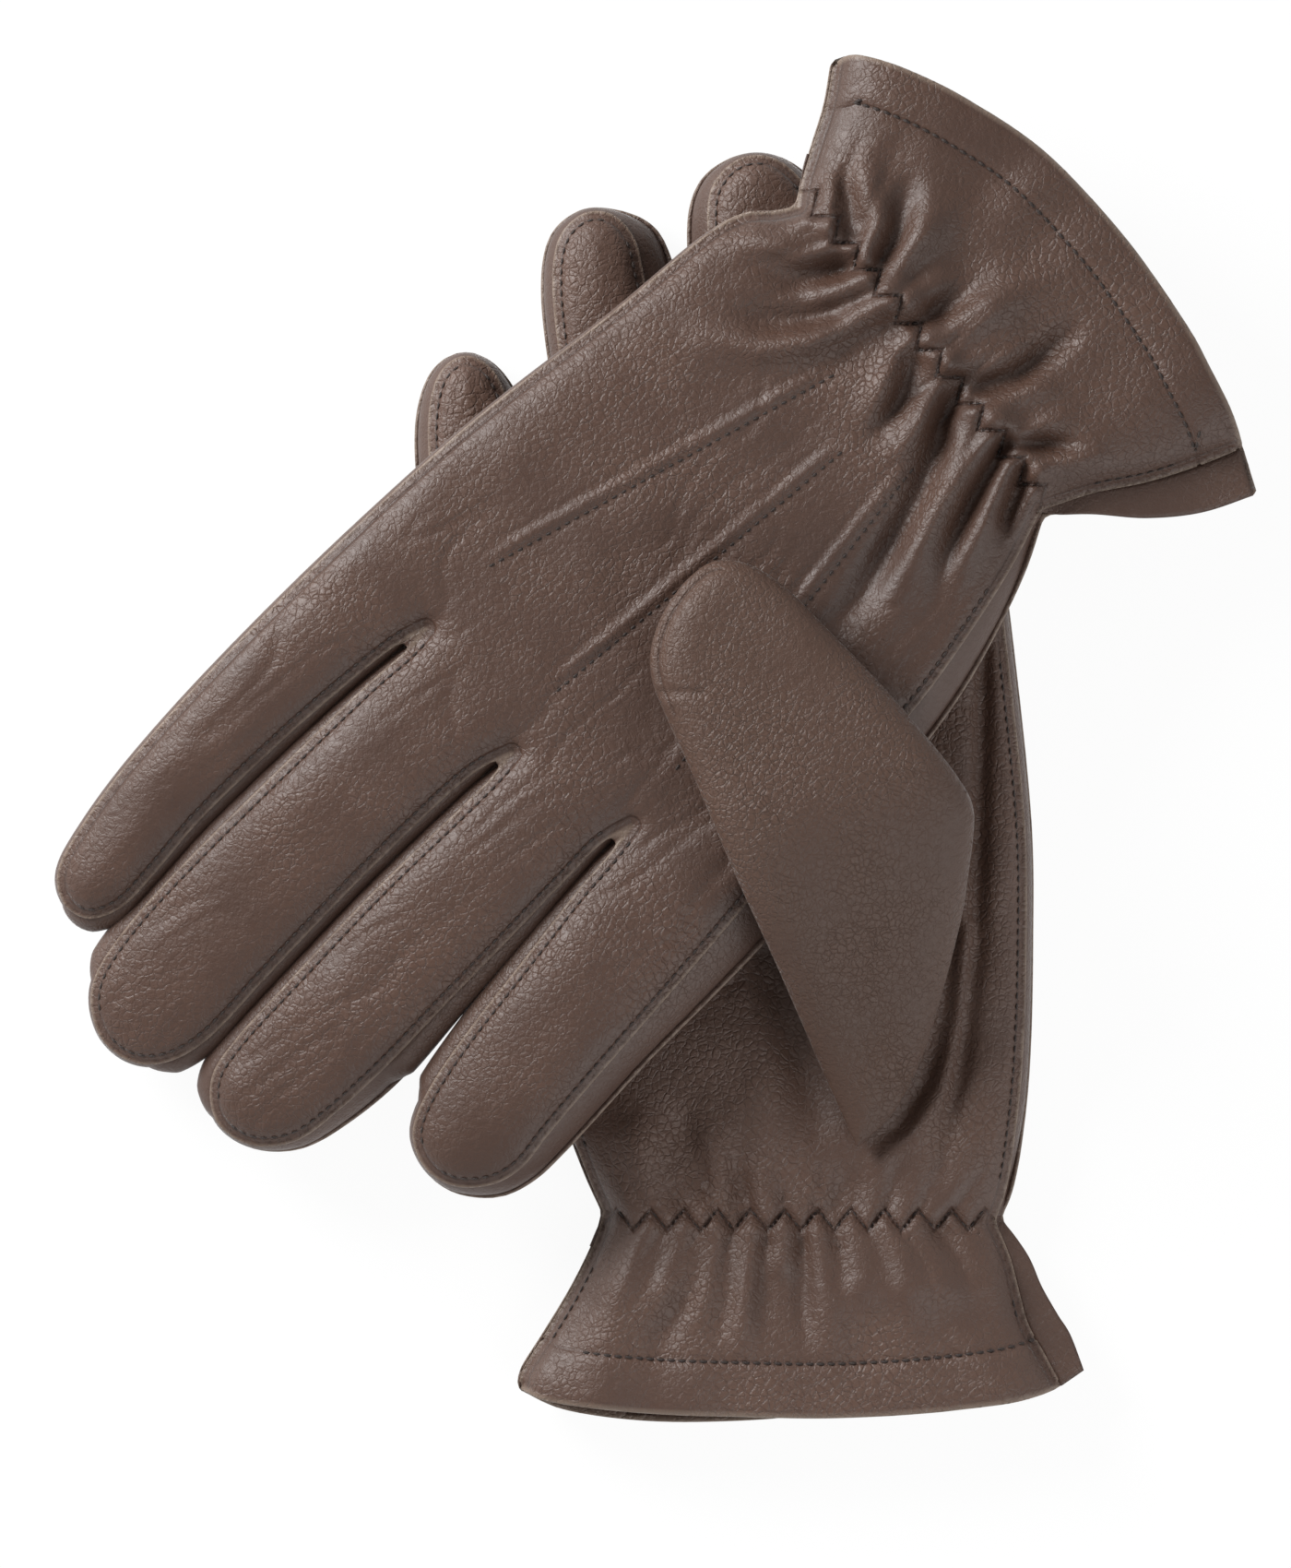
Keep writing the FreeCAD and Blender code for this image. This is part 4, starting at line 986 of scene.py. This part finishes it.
# a plump pouch, where the folded one climbs from its palm over the other glove
def thumbPiece(name, side, folded):
    loop = smoothLoop([(across, along, 0, corner) for along, across, corner in thumb["outline"][::-1]])
    piece = slabFromLoop(name, loop, thumb["voxel"])
    co = meshPoints(piece)
    across, along = co[:, 0] / mm, co[:, 1] / mm
    level = np.clip(co[:, 2] / (hand["slab"] * mm) * 2 - 1, -1, 1)
    d = edgeDistance(across, along, loop, False)
    if folded:
        low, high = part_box("right_thumb")
        base = (low.z / mm + thumb["rootUp"]) - gloveAt["right"]["z"] / mm
        top = (high.z / mm - thumb["tipDown"]) - gloveAt["right"]["z"] / mm
        rolled = smoothStep(along, *thumb["rollIn"]) * (1 - smoothStep(along, *thumb["rollOut"]))
        roll = thumb["roll"] * rolled
        middle = base + (top - base) * smoothStep(along, *thumb["climb"]) - roll * (across - thumb["rollAt"])
        half = np.interp(along, *zip(*thumb["halves"]))
    else:
        low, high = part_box("left_thumb")
        middle = ((low.z + high.z) / 2 - gloveAt["left"]["z"]) / mm
        half = (high.z - low.z) / 2 / mm - thumb["tuckedLess"]
    u = np.clip(d / thumb["round"], 0, 1)
    dome = thumb["flat"] + (1 - thumb["flat"]) * (1 - (1 - u) ** thumb["domeIn"]) ** 0.5
    z = middle + level * half * dome
    if folded:
        z += (level > 0) * foldedForm(along, across, d)
    x, y = thumbToPattern(along, across)
    setPoints(piece, toRow(side, x, y, z))
    atCut = (along > thumb["cutAlong"]) & (across < thumb["cutAcross"])
    setValues(piece, edge=np.where(atCut, np.maximum(d, thumb["cutLeast"]), thumb["farEdge"]),
              hem=thumb["farSeams"], rim=thumb["farSeams"], patternY=thumb["farSeams"])
    return piece


rightThumb = thumbPiece("right_thumb_leather", "right", True)
dress(rightThumb, "thumb", "right_thumb", "thumb_leather", "right_thumb", "right_thumb_lining")
leftThumb = thumbPiece("left_thumb_leather", "left", False)
dress(leftThumb, "thumb", "left_glove", "thumb_leather", "left_thumb", "left_thumb_lining")
print("thumbs done")

liningCut = {"inset": 2.4, "reach": 60, "voxel": 1.8, "behind": 0.15, "thickness": 0.9}
elasticCut = {"width": 72, "height": 7, "columns": 90, "rows": 10, "rib": 0.12, "ribPitch": 0.9,
              "behind": 3.6, "curve": 2.2, "curvePower": 4, "thickness": 0.5}


# the lining behind one leather layer, from a little inside the hem to the palm
def liningSheet(name, side, layer, loop):
    inner = offsetLoop(loop, -liningCut["inset"])
    piece = slabFromLoop(name, inner[inner[:, 1] < liningCut["reach"]], liningCut["voxel"])
    x, y, depth = slabPlaces(piece, layer)
    behind = hand["leather"] + liningCut["behind"] + depth * liningCut["thickness"]
    z = skinAt(side, layer, loop, x, y)[0] - layer * behind
    setPoints(piece, toRow(side, x, y, z + middleLine(side, y)))
    return piece


# a ribbed strip behind the zigzag row, from side to side
def elasticStrip(name, side, layer):
    e = elasticCut
    bpy.ops.object.select_all(action="DESELECT")
    bpy.ops.mesh.primitive_grid_add(x_subdivisions=e["columns"], y_subdivisions=e["rows"], size=1)
    piece = bpy.context.active_object
    piece.name = name
    co = meshPoints(piece)
    x, y = co[:, 0] * e["width"], co[:, 1] * e["height"]
    rib = e["rib"] * np.cos(x * math.pi / e["ribPitch"])
    curve = e["curve"] * np.abs(x / (e["width"] / 2)) ** e["curvePower"]
    z = layer * (hand["wristHalf"] - e["behind"] - curve) + rib
    setPoints(piece, toRow(side, x, y, z + middleLine(side, y)))
    applyModifier(piece, "SOLIDIFY", {"thickness": e["thickness"] * mm})
    return piece


for side in ("left", "right"):
    upper, lower = loops[side]
    lining = joinPieces(side + "_lining_cloth", [
        liningSheet(side + "_lining_up", side, 1, upper),
        liningSheet(side + "_lining_down", side, -1, lower)])
    dress(lining, "lining", side + "_glove", "lining", side + "_lining")
    elastic = joinPieces(side + "_elastic_band", [
        elasticStrip(side + "_elastic_up", side, 1), elasticStrip(side + "_elastic_down", side, -1)])
    dress(elastic, "elastic", side + "_glove", "elastic", side + "_wrist_elastic")
print("linings done")

studio = {
    "floorSize": 3.0, "floorDrop": 0.0002, "floorColour": (0.92, 0.92, 0.92, 1), "floorRough": 0.9,
    "glow": 0.8, "glowSeen": 0.14, "overhead": 0.3, "horizon": 0.9, "skyFrom": 0.1, "skyTo": 0.85,
    "camHeight": 2.2, "viewHeight": 0.3148, "focusZ": 0.025, "centreX": -0.00116, "centreY": -0.00675,
    "sensor": 36, "farthest": 20,
}
lamps = {
    "keyLight": {"place": (-0.54, 0.4, 0.41), "aim": (-0.05, 0.01, 0), "size": 0.36, "power": 9.8},
    "fillLight": {"place": (0.5, -0.5, 0.5), "aim": (0.02, -0.02, 0), "size": 0.7, "power": 3.3},
}


# the floor looks white to the camera, and still takes the gloves' shadow
def makeFloor():
    bpy.ops.object.select_all(action="DESELECT")
    bpy.ops.mesh.primitive_plane_add(size=studio["floorSize"], location=(0, 0, -studio["floorDrop"]))
    floor = bpy.context.active_object
    floor.name = "floor"
    material, tree, shader = newMaterial("paleFloor")
    shader.inputs["Base Color"].default_value = studio["floorColour"]
    shader.inputs["Roughness"].default_value = studio["floorRough"]
    calc = calcIn(tree)
    glow = tree.nodes.new("ShaderNodeEmission")
    mix = tree.nodes.new("ShaderNodeMixShader")
    seen = tree.nodes.new("ShaderNodeLightPath").outputs["Is Camera Ray"]
    tree.links.new(calc("ADD", calc("MULTIPLY", seen, studio["glowSeen"]), studio["glow"]), mix.inputs[0])
    tree.links.new(shader.outputs[0], mix.inputs[1])
    tree.links.new(glow.outputs[0], mix.inputs[2])
    tree.links.new(mix.outputs[0], tree.nodes["Material Output"].inputs["Surface"])
    floor.data.materials.append(material)


def makeLamp(name, place, aim, size, power):
    data = bpy.data.lights.new(name, "AREA")
    data.size = size
    data.energy = power
    lamp = bpy.data.objects.new(name, data)
    bpy.context.scene.collection.objects.link(lamp)
    lamp.location = place
    lamp.rotation_mode = "QUATERNION"
    lamp.rotation_quaternion = (Vector(aim) - Vector(place)).to_track_quat("-Z", "Y")


# soft light, dim overhead and bright low down, and white where the camera sees it
def makeWorld():
    world = bpy.data.worlds.new("studio")
    world.use_nodes = True
    bpy.context.scene.world = world
    tree = world.node_tree
    nodes, links, calc = tree.nodes, tree.links, calcIn(tree)
    background = nodes["Background"]
    background.inputs["Color"].default_value = (1, 1, 1, 1)
    path = nodes.new("ShaderNodeLightPath")
    seen = calc("MAXIMUM", path.outputs["Is Camera Ray"], path.outputs["Is Transmission Ray"])
    split = nodes.new("ShaderNodeSeparateXYZ")
    links.new(nodes.new("ShaderNodeTexCoord").outputs["Generated"], split.inputs[0])
    sky = nodes.new("ShaderNodeMapRange")
    sky.inputs["From Min"].default_value = studio["skyFrom"]
    sky.inputs["From Max"].default_value = studio["skyTo"]
    sky.inputs["To Min"].default_value = studio["horizon"]
    sky.inputs["To Max"].default_value = studio["overhead"]
    links.new(split.outputs["Z"], sky.inputs["Value"])
    rest = calc("SUBTRACT", 1.0, sky.outputs["Result"])
    links.new(calc("ADD", calc("MULTIPLY", seen, rest), sky.outputs["Result"]), background.inputs["Strength"])


def makeCamera():
    camData = bpy.data.cameras.new("camera")
    camData.lens = studio["sensor"] * studio["camHeight"] / studio["viewHeight"]
    camData.clip_end = studio["farthest"]
    camera = bpy.data.objects.new("camera", camData)
    bpy.context.scene.collection.objects.link(camera)
    camera.location = (studio["centreX"], studio["centreY"], studio["camHeight"] + studio["focusZ"])
    bpy.context.scene.camera = camera


makeFloor()
for name, lamp in lamps.items():
    makeLamp(name, **lamp)
makeWorld()
makeCamera()
bpy.context.scene.view_settings.view_transform = "Standard"
print("studio done")
